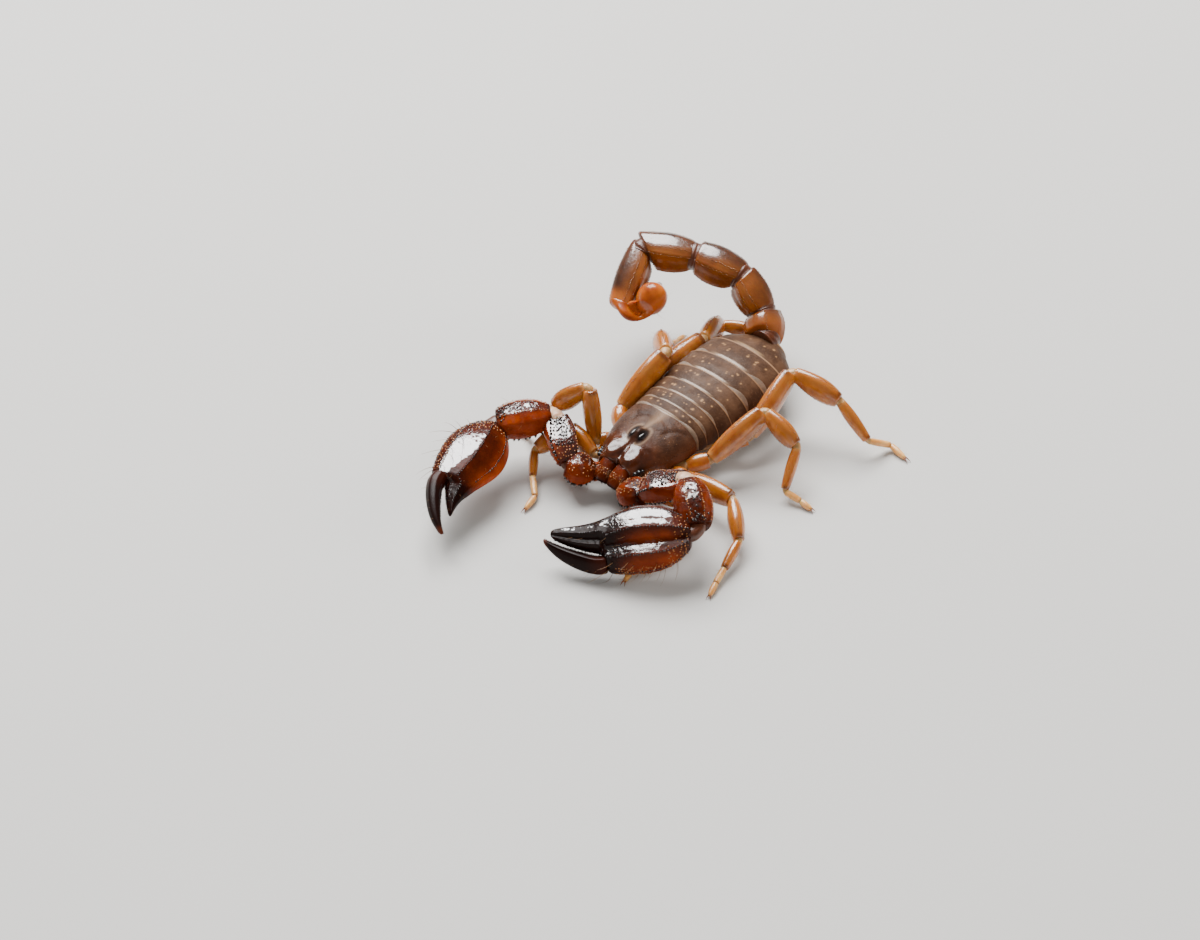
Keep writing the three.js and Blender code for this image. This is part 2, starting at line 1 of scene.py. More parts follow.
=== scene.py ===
"""A small forest scorpion at life size, standing on a pale floor.

Every piece is modelled in millimetres on the bench, lying along +Z with its upper side towards +Y, and
is then brought down to life size and set in its place round the frame. The head points to -Y and the
animal's left is +X.
"""

import math
import random

import bpy
import numpy as np
from mathutils import Matrix, Vector
from mathutils.bvhtree import BVHTree


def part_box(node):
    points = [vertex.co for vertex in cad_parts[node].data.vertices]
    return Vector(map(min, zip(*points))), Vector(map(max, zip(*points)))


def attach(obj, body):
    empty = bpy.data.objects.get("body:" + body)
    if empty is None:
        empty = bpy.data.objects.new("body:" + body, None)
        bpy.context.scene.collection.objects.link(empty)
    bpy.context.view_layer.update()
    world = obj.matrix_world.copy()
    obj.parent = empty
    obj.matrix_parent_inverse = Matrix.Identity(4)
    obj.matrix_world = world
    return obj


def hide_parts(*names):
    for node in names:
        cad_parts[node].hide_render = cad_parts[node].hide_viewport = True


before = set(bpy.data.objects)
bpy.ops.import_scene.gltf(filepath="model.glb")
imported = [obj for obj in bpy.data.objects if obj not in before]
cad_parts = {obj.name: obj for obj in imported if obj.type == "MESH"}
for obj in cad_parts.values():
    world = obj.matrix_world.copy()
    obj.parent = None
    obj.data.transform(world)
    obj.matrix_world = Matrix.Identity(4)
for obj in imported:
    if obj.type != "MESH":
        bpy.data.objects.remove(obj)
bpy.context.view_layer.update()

MM = 0.001
UP = Vector((0, 0, 1))
BACKWARD = Vector((0, 1, 0))

# The middle of the carapace's rear edge, on the floor, is where every measure below starts.
shield_low, shield_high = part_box("carapace")
MIDLINE = Vector(((shield_low.x + shield_high.x) / 2, shield_high.y, 0))
TO_LIFE = Matrix.Translation(MIDLINE) @ Matrix.Scale(MM, 4)
MIRROR = Matrix.Scale(-1, 4, Vector((1, 0, 0)))
STILL = Matrix.Identity(4)


# ------------------------------------------------------------------ measuring


def profile(*values):
    """A smooth function of 0..1 through evenly spaced values."""
    last = len(values) - 1

    def at(t):
        place = held(t) * last
        i = min(int(place), last - 1)
        f = place - i
        b, c = values[i], values[i + 1]
        a = values[i - 1] if i else 2 * b - c
        d = values[i + 2] if i + 2 <= last else 2 * c - b
        return b + 0.5 * f * (c - a + f * (2 * a - 5 * b + 4 * c - d + f * (3 * (b - c) + d - a)))

    return at


def bell(x, spread):
    return math.exp(-((x / spread) ** 2))


def held(share):
    """Keeps a share between 0 and 1."""
    return min(max(share, 0), 1)


def ramp(value, low, high):
    """A smooth step from 0 at low to 1 at high."""
    share = held((value - low) / (high - low))
    return share * share * (3 - 2 * share)


def ring_places(count):
    """Places from 0 to 1, closer together near the ends."""
    return [(1 - math.cos(math.pi * i / (count - 1))) / 2 for i in range(count)]


def heading(turn, lift=0.0):
    """The unit direction with this heading, 0 out to the left and 90 straight back, and this lift."""
    a, e = math.radians(turn), math.radians(lift)
    return Vector((math.cos(a) * math.cos(e), math.sin(a) * math.cos(e), math.sin(e)))


def dropping(turn, length, start, end):
    """The direction with this heading that takes a piece of this length from one height to another."""
    return heading(turn, math.degrees(math.asin((end - start) / length)))


def aimed(start, axis, up=UP):
    """Sets what lies along +Z to run from start towards axis, with its +Y nearest to up."""
    z = axis.normalized()
    y = (up - z * up.dot(z)).normalized()
    x = y.cross(z)
    turn = Matrix((x, y, z)).transposed().to_4x4()
    return Matrix.Translation(start) @ turn


def outline(sides, squareness=2.2, keels=(), spread=8.0):
    """A squared-off circle as points. keels are (degrees, rise): 0 is +X and 90 is the upper side."""
    points = []
    for i in range(sides):
        degrees = 360.0 * i / sides
        c, s = math.cos(math.radians(degrees)), math.sin(math.radians(degrees))
        reach = 1.0
        for angle, rise in keels:
            apart = (degrees - angle + 180) % 360 - 180
            reach += rise * bell(apart, spread)
        power = 2 / squareness
        x, y = math.copysign(abs(c) ** power, c), math.copysign(abs(s) ** power, s)
        points.append((reach * x, reach * y))
    return points


# ------------------------------------------------------------------ at the bench


def deselect():
    bpy.ops.object.select_all(action="DESELECT")


def take(piece):
    """Picks up one piece and nothing else."""
    deselect()
    piece.select_set(True)
    bpy.context.view_layer.objects.active = piece


def open_up(piece, chosen=lambda vertex: True):
    """Opens a piece for shaping with only the chosen points selected."""
    take(piece)
    bpy.ops.object.mode_set(mode="EDIT")
    bpy.ops.mesh.select_mode(type="VERT")
    bpy.ops.mesh.select_all(action="DESELECT")
    bpy.ops.object.mode_set(mode="OBJECT")
    for vertex in piece.data.vertices:
        vertex.select = chosen(vertex)
    bpy.ops.object.mode_set(mode="EDIT")


def close_up():
    bpy.ops.object.mode_set(mode="OBJECT")


def draw_out(name, points, stations, closed=True):
    """Draws an outline out along +Z. A station is (z, half width, half height, x, y)."""
    deselect()
    bpy.ops.mesh.primitive_circle_add(vertices=len(points), radius=1.0)
    piece = bpy.context.object
    piece.name = name
    for vertex, (x, y) in zip(piece.data.vertices, points):
        vertex.co = (x, y, 0)
    bpy.ops.object.mode_set(mode="EDIT")
    bpy.ops.mesh.select_all(action="SELECT")
    z, width, height, x, y = stations[0]
    bpy.ops.transform.resize(value=(width, height, 1), center_override=(0, 0, 0))
    bpy.ops.transform.translate(value=(x, y, z))
    if closed:
        bpy.ops.mesh.edge_face_add()
    else:
        ends = {0, len(points) - 1}
        open_up_edges(piece, lambda edge: set(edge.vertices) == ends)
        bpy.ops.mesh.delete(type="EDGE_FACE")
        bpy.ops.mesh.select_all(action="SELECT")
    for (z0, w0, h0, x0, y0), (z, width, height, x, y) in zip(stations, stations[1:]):
        step = {"value": (x - x0, y - y0, z - z0)}
        bpy.ops.mesh.extrude_region_move(TRANSFORM_OT_translate=step)
        bpy.ops.transform.resize(value=(width / w0, height / h0, 1), center_override=(x, y, z))
    close_up()
    return piece


def open_up_edges(piece, chosen):
    bpy.ops.mesh.select_mode(type="EDGE")
    bpy.ops.mesh.select_all(action="DESELECT")
    bpy.ops.object.mode_set(mode="OBJECT")
    for edge in piece.data.edges:
        edge.select = chosen(edge)
    bpy.ops.object.mode_set(mode="EDIT")


def stretch(length, width, height, rings=9, blunt=0.55, shift=lambda t: (0, 0)):
    """Stations of a limb piece with rounded ends, from its half sizes as functions of 0..1."""
    stations = []
    for t in ring_places(rings):
        share = blunt if t in (0.0, 1.0) else 1.0
        stations.append((t * length, share * width(t), share * height(t), *shift(t)))
    first = (0.015 * length, width(0.02), height(0.02), *shift(0.02))
    last = (0.985 * length, width(0.98), height(0.98), *shift(0.98))
    return [stations[0], first, *stations[1:-1], last, stations[-1]]


def finish_with(piece, kind, **settings):
    """Adds one modifier and applies it."""
    take(piece)
    modifier = piece.modifiers.new(kind.title(), kind)
    for setting, value in settings.items():
        setattr(modifier, setting, value)
    bpy.ops.object.modifier_apply(modifier=modifier.name)
    return piece


def thicken(piece, thickness, offset):
    """Gives an open sheet a wall and turns it right side out."""
    finish_with(piece, "SOLIDIFY", thickness=thickness, offset=offset)
    open_up(piece)
    bpy.ops.mesh.select_all(action="SELECT")
    bpy.ops.mesh.normals_make_consistent(inside=False)
    close_up()


def smooth(piece, levels=2):
    finish_with(piece, "SUBSURF", levels=levels, render_levels=levels)
    bpy.ops.object.shade_smooth()
    return piece


def face_out(piece):
    """Turns a closed piece right side out."""
    mesh = piece.data
    places = np.empty(len(mesh.vertices) * 3)
    mesh.vertices.foreach_get("co", places)
    places = places.reshape(-1, 3)
    mesh.calc_loop_triangles()
    corners = np.empty(len(mesh.loop_triangles) * 3, int)
    mesh.loop_triangles.foreach_get("vertices", corners)
    a, b, c = (places[corners.reshape(-1, 3)[:, i]] for i in range(3))
    if np.einsum("ij,ij->i", a, np.cross(b, c)).sum() < 0:
        open_up(piece)
        bpy.ops.mesh.select_all(action="SELECT")
        bpy.ops.mesh.flip_normals()
        close_up()
    return piece


def copy_of(model, name):
    piece = model.copy()
    piece.data = model.data.copy()
    piece.name = name
    bpy.context.scene.collection.objects.link(piece)
    return piece


def join(pieces):
    """Joins pieces into the first of them."""
    deselect()
    for piece in pieces:
        piece.select_set(True)
    bpy.context.view_layer.objects.active = pieces[0]
    bpy.ops.object.join()
    return pieces[0]


def put_away(*models):
    for model in models:
        bpy.data.objects.remove(model)


def move(piece, place):
    """Puts a piece in a place and leaves the place in its mesh."""
    piece.matrix_world = place
    take(piece)
    bpy.ops.object.transform_apply(location=True, rotation=True, scale=True)
    return piece


def set_down(piece, place=STILL, mirrored=False):
    """Brings a finished piece to life size in its place, on the right if it is mirrored."""
    return face_out(move(piece, TO_LIFE @ (MIRROR if mirrored else STILL) @ place))


def hand_in(piece, slot, *nodes):
    """Hangs a placed piece on the root and hides the solids it stands for. slot is not used."""
    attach(piece, "root")
    if nodes:
        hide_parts(*nodes)
    return piece


def paint(piece, *materials):
    piece.data.materials.clear()
    for material in materials:
        piece.data.materials.append(material)
    return piece


def chart(piece, length, centre=lambda t: (0, 0)):
    """Notes on every point how far along the piece it lies and which way it faces across it."""
    count = len(piece.data.vertices)
    along, side, top = np.empty(count), np.empty(count), np.empty(count)
    for i, vertex in enumerate(piece.data.vertices):
        x, y, z = vertex.co
        along[i] = z / length
        cx, cy = centre(along[i])
        reach = max(math.hypot(x - cx, y - cy), 1e-6)
        side[i], top[i] = (x - cx) / reach, (y - cy) / reach
    note(piece, "along", along)
    note(piece, "side", side)
    note(piece, "top", top)
    return piece


def note(piece, name, values):
    marks = piece.data.attributes.get(name) or piece.data.attributes.new(name, "FLOAT", "POINT")
    marks.data.foreach_set("value", np.asarray(values, np.float32))


def noted(piece, name):
    values = np.empty(len(piece.data.vertices), np.float32)
    piece.data.attributes[name].data.foreach_get("value", values)
    return values


def reshape(piece, change):
    """Moves every point by what change(x, y, z) gives."""
    for vertex in piece.data.vertices:
        vertex.co += Vector(change(*vertex.co))
    return piece


# ------------------------------------------------------------------ beads, teeth and bristles


def surface_of(piece):
    take(piece)
    return BVHTree.FromObject(piece, bpy.context.evaluated_depsgraph_get())


def touch(skin, z, degrees, centre=(0, 0)):
    """The point and normal where a pin pushed out from the middle line comes through the surface."""
    out = Vector((math.cos(math.radians(degrees)), math.sin(math.radians(degrees)), 0))
    point, normal, _, _ = skin.ray_cast(Vector((*centre, z)), out)
    if point is None:
        return None
    if normal.dot(out) < 0:
        normal = -normal
    return point, normal


def bead_model():
    deselect()
    bpy.ops.mesh.primitive_ico_sphere_add(subdivisions=1, radius=1.0)
    model = bpy.context.object
    open_up(model, lambda vertex: vertex.co.z < -0.5)
    bpy.ops.transform.resize(value=(0.7, 0.7, 0.4), center_override=(0, 0, 0))
    close_up()
    return model


def tooth_model():
    """A blunt little spine leaning towards +Y."""
    stations = [(-0.3, 1, 1, 0, 0), (0.5, 0.8, 0.8, 0, 0.1), (1.2, 0.3, 0.3, 0, 0.4)]
    return draw_out("tooth", outline(5), stations)


def bristle_model():
    """A fine tapering hair of length 1, curved towards +Y."""
    stations = []
    for i in range(6):
        t = i / 5
        size = 0.014 * (1 - 0.85 * t)
        stations.append((t * (1 - 0.12 * t), size, size, 0, 0.28 * t * t))
    return draw_out("bristle", outline(3), stations)


def copies(name, model, places, seats=None):
    """One joined mesh of many copies. seats gives each copy's place on the flat pattern of its skin."""
    mesh = model.data
    mesh.calc_loop_triangles()
    corners = np.array([tri.vertices for tri in mesh.loop_triangles])
    points = np.array([vertex.co for vertex in mesh.vertices])
    count = len(points)
    all_points = np.concatenate([
        points @ np.array(place.to_3x3()).T + np.array(place.translation) for place in places
    ])
    steps = (np.arange(len(places)) * count).repeat(len(corners))[:, None]
    all_corners = np.tile(corners, (len(places), 1)) + steps
    joined = bpy.data.meshes.new(name)
    joined.from_pydata(all_points.tolist(), [], all_corners.tolist())
    piece = bpy.data.objects.new(name, joined)
    bpy.context.scene.collection.objects.link(piece)
    take(piece)
    bpy.ops.object.shade_smooth()
    if seats:
        lay_flat(piece, points, seats, corners)
    return piece


SEAT_SIZE = 0.003


def lay_flat(piece, points, seats, corners):
    """Lays each copy on the flat pattern as a small patch at its root's place."""
    low, high = points.min(0), points.max(0)
    patch = (points[:, [0, 2]] - low[[0, 2]]) / (high - low)[[0, 2]] * SEAT_SIZE
    layer = piece.data.uv_layers.new(name="OFBake")
    flat = np.concatenate([patch[corners.reshape(-1)] + np.array(seat) for seat in seats])
    layer.data.foreach_set("uv", flat.reshape(-1).astype(np.float32))


def seat(point, normal, size, lean=None, lay=0.0):
    """Sets a small copy on the surface, turned so that its +Y side looks towards lean."""
    lean = Vector(lean) if lean is not None else UP
    up = (normal + lean * lay).normalized()
    towards = lean if abs(lean.normalized().dot(up)) < 0.98 else Vector((1, 0.2, 0))
    turn = aimed(point, up, towards)
    return turn @ Matrix.Diagonal((size, size, size, 1))


def stud(piece, spots, size, model, material_index, centre=lambda t: (0, 0), length=1.0, draw=None):
    """Sets copies of a bead or tooth at spots, each (share of the length, degrees), and joins them on."""
    skin = surface_of(piece)
    places = []
    for t, degrees in spots:
        found = touch(skin, t * length, degrees, centre(t))
        if found:
            scale = size * (draw.uniform(0.7, 1.25) if draw else 1.0)
            places.append(seat(*found, scale, (0, 0, 1)))
    grains = copies(piece.name + "_grains", model, places)
    for attribute in ("along", "side", "top"):
        if piece.data.attributes.get(attribute):
            note(grains, attribute, np.full(len(grains.data.vertices), 0.5))
    slots = [slot.material for slot in piece.material_slots]
    paint(grains, slots[material_index])
    return join([piece, grains])


def row(degrees, start=0.08, end=0.92, count=20, draw=None, wander=0.0):
    """Evenly spaced spots along one side of a piece."""
    spots = []
    for i in range(count):
        t = start + (end - start) * i / (count - 1)
        turn = degrees(t) if callable(degrees) else degrees
        if draw:
            t += draw.uniform(-0.25, 0.25) * (end - start) / count
            turn += draw.uniform(-wander, wander)
        spots.append((t, turn))
    return spots


def patch(low, high, start, end, across, along, draw):
    """A loose field of spots between two sides of a piece and two shares of its length."""
    spots = []
    for i in range(along):
        for j in range(across):
            t = start + (end - start) * (i + draw.uniform(0.1, 0.9)) / along
            turn = low + (high - low) * (j + draw.uniform(0.1, 0.9)) / across
            spots.append((t, turn))
    return spots


# ------------------------------------------------------------------ finishes


def node(tree, kind, inputs=None, **settings):
    """Adds a node. inputs gives a number, a colour or another node's output by socket name."""
    made = tree.nodes.new("ShaderNode" + kind)
    for setting, value in settings.items():
        setattr(made, setting, value)
    for socket, value in (inputs or {}).items():
        if isinstance(value, bpy.types.NodeSocket):
            tree.links.new(value, made.inputs[socket])
        else:
            made.inputs[socket].default_value = value
    return made


def mixed(tree, amount, first, second):
    """Mixes two colours, each a node's output or its red, green and blue."""
    mix = tree.nodes.new("ShaderNodeMix")
    mix.data_type = "RGBA"
    tree.links.new(amount, mix.inputs[0])
    for index, value in ((6, first), (7, second)):
        if isinstance(value, bpy.types.NodeSocket):
            tree.links.new(value, mix.inputs[index])
        else:
            mix.inputs[index].default_value = (*value, 1.0)
    return mix.outputs[2]


def layered(tree, base, *layers):
    """Lays colours over a base, each as strongly as its amount says."""
    for amount, tint in layers:
        base = mixed(tree, amount, base, tint)
    return base


def between(tree, value, low, high, start=0.0, end=1.0):
    """A smooth step: start where value is low, end where it is high."""
    inputs = {"Value": value, "From Min": low, "From Max": high, "To Min": start, "To Max": end}
    return node(tree, "MapRange", inputs, interpolation_type="SMOOTHSTEP").outputs[0]


def clouded(tree, cloud, thin, thick, low=0.3, high=0.7):
    """One colour where the cloud is thin, the other where it is thick."""
    return mixed(tree, between(tree, cloud, low, high), thin, thick)


def worked(tree, operation, first, second):
    return node(tree, "Math", {0: first, 1: second}, operation=operation).outputs[0]


def times(tree, first, second):
    return worked(tree, "MULTIPLY", first, second)


def marked(tree, name):
    return node(tree, "Attribute", attribute_name=name).outputs["Fac"]


def spread_out(tree, per_mm, detail=3.0, roughness=0.55, kind="Noise", **settings):
    """A noise or cell pattern of so many features to the millimetre."""
    where = node(tree, "TexCoord").outputs["Object"]
    inputs = {"Vector": where, "Scale": per_mm / MM}
    if kind == "Noise":
        inputs.update({"Detail": detail, "Roughness": roughness})
    return node(tree, "Tex" + kind, inputs, **settings).outputs[0]


def pits(tree, per_mm):
    """Small rounded pits, so many to the millimetre."""
    return spread_out(tree, per_mm, kind="Voronoi", feature="SMOOTH_F1")


def facing(tree, degrees):
    """1 on the side of a limb piece that looks this way, -1 on the other: 0 is +X and 90 the top."""
    c, s = math.cos(math.radians(degrees)), math.sin(math.radians(degrees))
    return worked(tree, "ADD", times(tree, marked(tree, "side"), c), times(tree, marked(tree, "top"), s))


def looking_up(tree):
    """1 where the surface looks up and 0 where it looks sideways or down, for gloss."""
    normal = node(tree, "NewGeometry").outputs["Normal"]
    return between(tree, node(tree, "SeparateXYZ", {"Vector": normal}).outputs["Z"], 0.1, 0.8)


def bump(tree, shader, *layers):
    """Adds relief from (height, depth in millimetres) layers."""
    below = None
    for height, depth in layers:
        inputs = {"Height": height, "Distance": depth * MM, "Strength": 1.0}
        if below:
            inputs["Normal"] = below
        below = node(tree, "Bump", inputs).outputs[0]
    tree.links.new(below, shader.inputs["Normal"])


def finish(name, **sockets):
    """A new material with these constant values on its shader. Returns it, its nodes and the shader."""
    material = bpy.data.materials.new(name)
    material.use_nodes = True
    tree = material.node_tree
    shader = tree.nodes["Principled BSDF"]
    for socket, value in sockets.items():
        shader.inputs[socket.replace("_", " ")].default_value = value
    return material, tree, shader


def feed(tree, shader, **sockets):
    """Links these outputs to the shader's sockets."""
    for socket, value in sockets.items():
        tree.links.new(value, shader.inputs[socket.replace("_", " ")])


def gloss_by(tree, shader, amount, coat, specular):
    """Runs the coat and the mirror strength between two values each, as the amount goes from 0 to 1."""
    feed(tree, shader, Coat_Weight=between(tree, amount, 0.0, 1.0, *coat),
         Specular_IOR_Level=between(tree, amount, 0.0, 1.0, *specular))


def glow(weight, green, blue, depth):
    """Light spreading under a surface: its depth for red in millimetres, and the other colours' shares."""
    return {"Subsurface_Weight": weight, "Subsurface_Radius": (1.0, green, blue),
            "Subsurface_Scale": depth * MM}


def plate_finish():
    """Satin grey-brown back plates: pale spots, a pale rear rim and a shiny front band whose pale colour is
    a painted highlight.
    """
    material, tree, shader = finish("back plate", Coat_Roughness=0.2, Specular_IOR_Level=0.12)
    along, top = marked(tree, "along"), marked(tree, "top")
    cloud = spread_out(tree, 0.9, detail=5)
    gloss_band_painted_highlight = times(tree, between(tree, along, 0.18, 0.12), between(tree, top, 0.7, 0.97))
    base = layered(tree, clouded(tree, cloud, (0.04, 0.0175, 0.0085), (0.086, 0.042, 0.022), 0.35, 0.68),
                   (between(tree, spread_out(tree, 7, detail=2), 0.5, 0.75, 0, 0.4), (0.12, 0.064, 0.036)),
                   (between(tree, top, 0.45, -0.1, 0, 0.55), (0.04, 0.026, 0.02)),
                   # Painted highlight: pale colour laid on the glossy front band of each plate.
                   (times(tree, gloss_band_painted_highlight, 0.35), (0.46, 0.28, 0.13)),
                   (between(tree, along, 0.955, 0.985, 0, 0.75), (0.27, 0.15, 0.08)),
                   (marked(tree, "spots"), (0.4, 0.22, 0.1)))
    worn = between(tree, spread_out(tree, 2.2), 0.3, 0.7, 0.42, 0.56)
    feed(tree, shader, Base_Color=base, Roughness=worked(tree, "SUBTRACT", worn, times(tree, gloss_band_painted_highlight, 0.12)),
         Coat_Weight=times(tree, gloss_band_painted_highlight, 0.6))
    bump(tree, shader, (spread_out(tree, 22, detail=1), 0.008), (pits(tree, 11), 0.012))
    return material


def shield_finish():
    """The carapace: grey-brown behind, red-brown and polished in front, dark round the eyes."""
    material, tree, shader = finish("shield", Coat_Roughness=0.12, Specular_IOR_Level=0.12)
    along, dark = marked(tree, "along"), marked(tree, "dark")
    cloud = spread_out(tree, 1.1, detail=5)
    front = clouded(tree, cloud, (0.036, 0.0095, 0.004), (0.075, 0.02, 0.008), 0.35, 0.68)
    rear = clouded(tree, cloud, (0.034, 0.0135, 0.007), (0.072, 0.031, 0.016), 0.35, 0.68)
    flecks = times(tree, between(tree, spread_out(tree, 6, kind="Voronoi"), 0.17, 0.08, 0, 0.8),
                   between(tree, spread_out(tree, 0.8), 0.5, 0.6))
    base = layered(tree, mixed(tree, between(tree, along, 0.25, 0.62), front, rear),
                   (between(tree, marked(tree, "top"), 0.5, 0.05, 0, 0.85), (0.1, 0.028, 0.009)),
                   (flecks, (0.36, 0.19, 0.09)),
                   (marked(tree, "pale"), (0.24, 0.15, 0.095)),
                   (dark, (0.008, 0.005, 0.004)),
                   (between(tree, along, 0.982, 0.995, 0, 0.75), (0.3, 0.17, 0.09)))
    gloss = times(tree, between(tree, along, 0.5, 0.25, 0.02, 0.9), between(tree, dark, 0.6, 0.2, 0.1, 1.0))
    worn = between(tree, spread_out(tree, 3.4, detail=6, roughness=0.65), 0.36, 0.54, 0.25, 1.0)
    feed(tree, shader, Base_Color=base, Roughness=between(tree, along, 0.25, 0.6, 0.16, 0.46),
         Coat_Weight=times(tree, gloss, worn))
    grainy = times(tree, pits(tree, 13), between(tree, along, 0.3, 0.6, 0.35, 1.0))
    bump(tree, shader, (spread_out(tree, 4, detail=5, roughness=0.65), 0.03),
         (spread_out(tree, 20, detail=1), 0.006), (grainy, 0.022))
    return material


def claw_finish():
    """Polished mahogany that turns orange and clear where it is marked so; on the lower faces that orange is
    partly painted glow of light shining through the shell.
    """
    material, tree, shader = finish("claw shell", Coat_Roughness=0.04, **glow(0.45, 0.3, 0.08, 0.5))
    along = marked(tree, "along")
    cloud = spread_out(tree, 0.7, detail=4)
    dark = clouded(tree, cloud, (0.026, 0.0036, 0.001), (0.07, 0.009, 0.0016))
    clear = clouded(tree, cloud, (0.175, 0.0178, 0.001), (0.32, 0.044, 0.0028))
    ends = worked(tree, "MAXIMUM", between(tree, along, 0.12, 0.0), between(tree, along, 0.86, 1.0))
    # Where marked, the orange is partly the shell's own colour and partly painted glow of light through the
    # lower faces.
    base = layered(tree, mixed(tree, marked(tree, "clear"), dark, clear),
                   (times(tree, ends, 0.75), (0.02, 0.004, 0.002)),
                   (marked(tree, "black"), (0.008, 0.0022, 0.0015)))
    ragged = between(tree, spread_out(tree, 2.6, detail=6, roughness=0.65), 0.3, 0.7, -0.42, 0.42)
    polish = between(tree, worked(tree, "ADD", marked(tree, "polish"), ragged), 0.4, 0.6)
    feed(tree, shader, Base_Color=base, Roughness=between(tree, polish, 0.0, 1.0, 0.3, 0.13))
    gloss_by(tree, shader, times(tree, polish, looking_up(tree)), (0.03, 1.0), (0.07, 0.9))
    bump(tree, shader, (spread_out(tree, 3.2, detail=2), 0.04), (spread_out(tree, 9, detail=1), 0.009))
    return material


def finger_finish():
    """Black-brown, a little redder at the root and the point."""
    material, tree, shader = finish("finger shell", Roughness=0.34, Coat_Roughness=0.2)
    along = marked(tree, "along")
    base = mixed(tree, between(tree, along, 0.02, 0.4), (0.035, 0.006, 0.0025), (0.008, 0.0022, 0.0015))
    base = mixed(tree, between(tree, along, 0.9, 1.0, 0, 0.7), base, (0.11, 0.02, 0.006))
    feed(tree, shader, Base_Color=base)
    gloss_by(tree, shader, looking_up(tree), (0.02, 0.05), (0.06, 0.1))
    bump(tree, shader, (spread_out(tree, 4, detail=2), 0.008))
    return material


def leg_finish():
    """Clear amber: dark spots where the pieces end and a dusky upper keel."""
    material, tree, shader = finish("leg shell", Roughness=0.22, Coat_Weight=0.7, Coat_Roughness=0.14,
                                    Specular_IOR_Level=0.55, **glow(0.55, 0.45, 0.14, 0.6))
    along = marked(tree, "along")
    cloud = spread_out(tree, 1.3, detail=3)
    dusk = times(tree, between(tree, facing(tree, 90), 0.5, 1.0), between(tree, cloud, 0.35, 0.65))
    spot = times(tree, between(tree, along, 0.88, 0.95), between(tree, facing(tree, 60), 0.35, 0.85))
    base = layered(tree, clouded(tree, cloud, (0.3, 0.08, 0.006), (0.51, 0.168, 0.017)),
                   (times(tree, dusk, 0.5), (0.15, 0.05, 0.012)),
                   (between(tree, along, 0.12, 0.0, 0, 0.5), (0.55, 0.3, 0.1)),
                   (times(tree, spot, 0.65), (0.05, 0.012, 0.004)))
    feed(tree, shader, Base_Color=base)
    bump(tree, shader, (pits(tree, 14), 0.01))
    return material


def foot_finish():
    """Paler than the rest of the leg, browner at the end of each piece."""
    material, tree, shader = finish("foot shell", Roughness=0.3, Coat_Weight=0.3, Coat_Roughness=0.2,
                                    **glow(0.6, 0.5, 0.2, 0.4))
    base = clouded(tree, spread_out(tree, 1.6, detail=3), (0.58, 0.27, 0.065), (0.74, 0.42, 0.14))
    base = mixed(tree, between(tree, marked(tree, "along"), 0.84, 0.98, 0, 0.55), base, (0.3, 0.1, 0.03))
    feed(tree, shader, Base_Color=base)
    bump(tree, shader, (pits(tree, 16), 0.006))
    return material


def tail_finish():
    """Dark brown outside the curl and clear orange inside it, where the orange is painted glow of light
    through the shell; redder at the ends of each piece, with an orange end where marked.
    """
    material, tree, shader = finish("tail shell", Roughness=0.3, Coat_Roughness=0.1,
                                    **glow(0.45, 0.3, 0.08, 0.5))
    along = marked(tree, "along")
    cloud = spread_out(tree, 0.8, detail=4)
    outer = clouded(tree, cloud, (0.034, 0.0085, 0.0018), (0.08, 0.021, 0.004))
    inner = clouded(tree, cloud, (0.17, 0.042, 0.003), (0.29, 0.082, 0.007))
    ends = worked(tree, "MAXIMUM", between(tree, along, 0.1, 0.0), between(tree, along, 0.9, 1.0))
    # Painted glow: faces towards the inside of the curl are made clear orange as if lit through the shell.
    base = layered(tree, mixed(tree, between(tree, facing(tree, 90), -0.5, 0.75), outer, inner),
                   (times(tree, ends, 0.6), (0.12, 0.026, 0.003)),
                   # The orange marked as tip is partly a painted highlight glow, on the first segment most
                   # of all.
                   (marked(tree, "tip"), (0.42, 0.11, 0.012)))
    feed(tree, shader, Base_Color=base)
    gloss_by(tree, shader, looking_up(tree), (0.04, 0.9), (0.15, 0.6))
    bump(tree, shader, (spread_out(tree, 5, detail=2), 0.014), (pits(tree, 15), 0.008))
    return material


def telson_finish():
    """Clear orange, with a dark sting."""
    material, tree, shader = finish("telson shell", Roughness=0.3, Coat_Weight=0.35, Coat_Roughness=0.12,
                                    Specular_IOR_Level=0.3, **glow(0.45, 0.3, 0.08, 0.5))
    base = clouded(tree, spread_out(tree, 1.0, detail=4), (0.22, 0.034, 0.0015), (0.42, 0.095, 0.007))
    base = mixed(tree, between(tree, marked(tree, "along"), 0.66, 0.86), base, (0.05, 0.012, 0.006))
    feed(tree, shader, Base_Color=base)
    bump(tree, shader, (spread_out(tree, 6, detail=2), 0.012))
    return material


def grain_finish(name, tint):
    material, tree, shader = finish(name, Roughness=0.2, Coat_Weight=0.6, Coat_Roughness=0.1)
    feed(tree, shader, Base_Color=clouded(tree, spread_out(tree, 4), tint, [2.2 * part for part in tint]))
    return material


def skin_finish(name, tint, weight=0.5):
    """Soft hinge skin, finely wrinkled and a little moist."""
    material, tree, shader = finish(name, Roughness=0.38, Coat_Weight=0.2, Coat_Roughness=0.2,
                                    **glow(weight, 0.5, 0.25, 0.4))
    cloud = spread_out(tree, 2.0, detail=4)
    feed(tree, shader, Base_Color=clouded(tree, cloud, [0.62 * part for part in tint], tint))
    bump(tree, shader, (spread_out(tree, 9, detail=3), 0.03))
    return material


def plain_finish(name, cloud_size, cloud_detail, thin, thick, **sockets):
    """A surface with nothing on it but a soft change from one colour to another."""
    material, tree, shader = finish(name, **sockets)
    cloud = spread_out(tree, cloud_size, detail=cloud_detail)
    feed(tree, shader, Base_Color=mixed(tree, cloud, thin, thick))
    return material


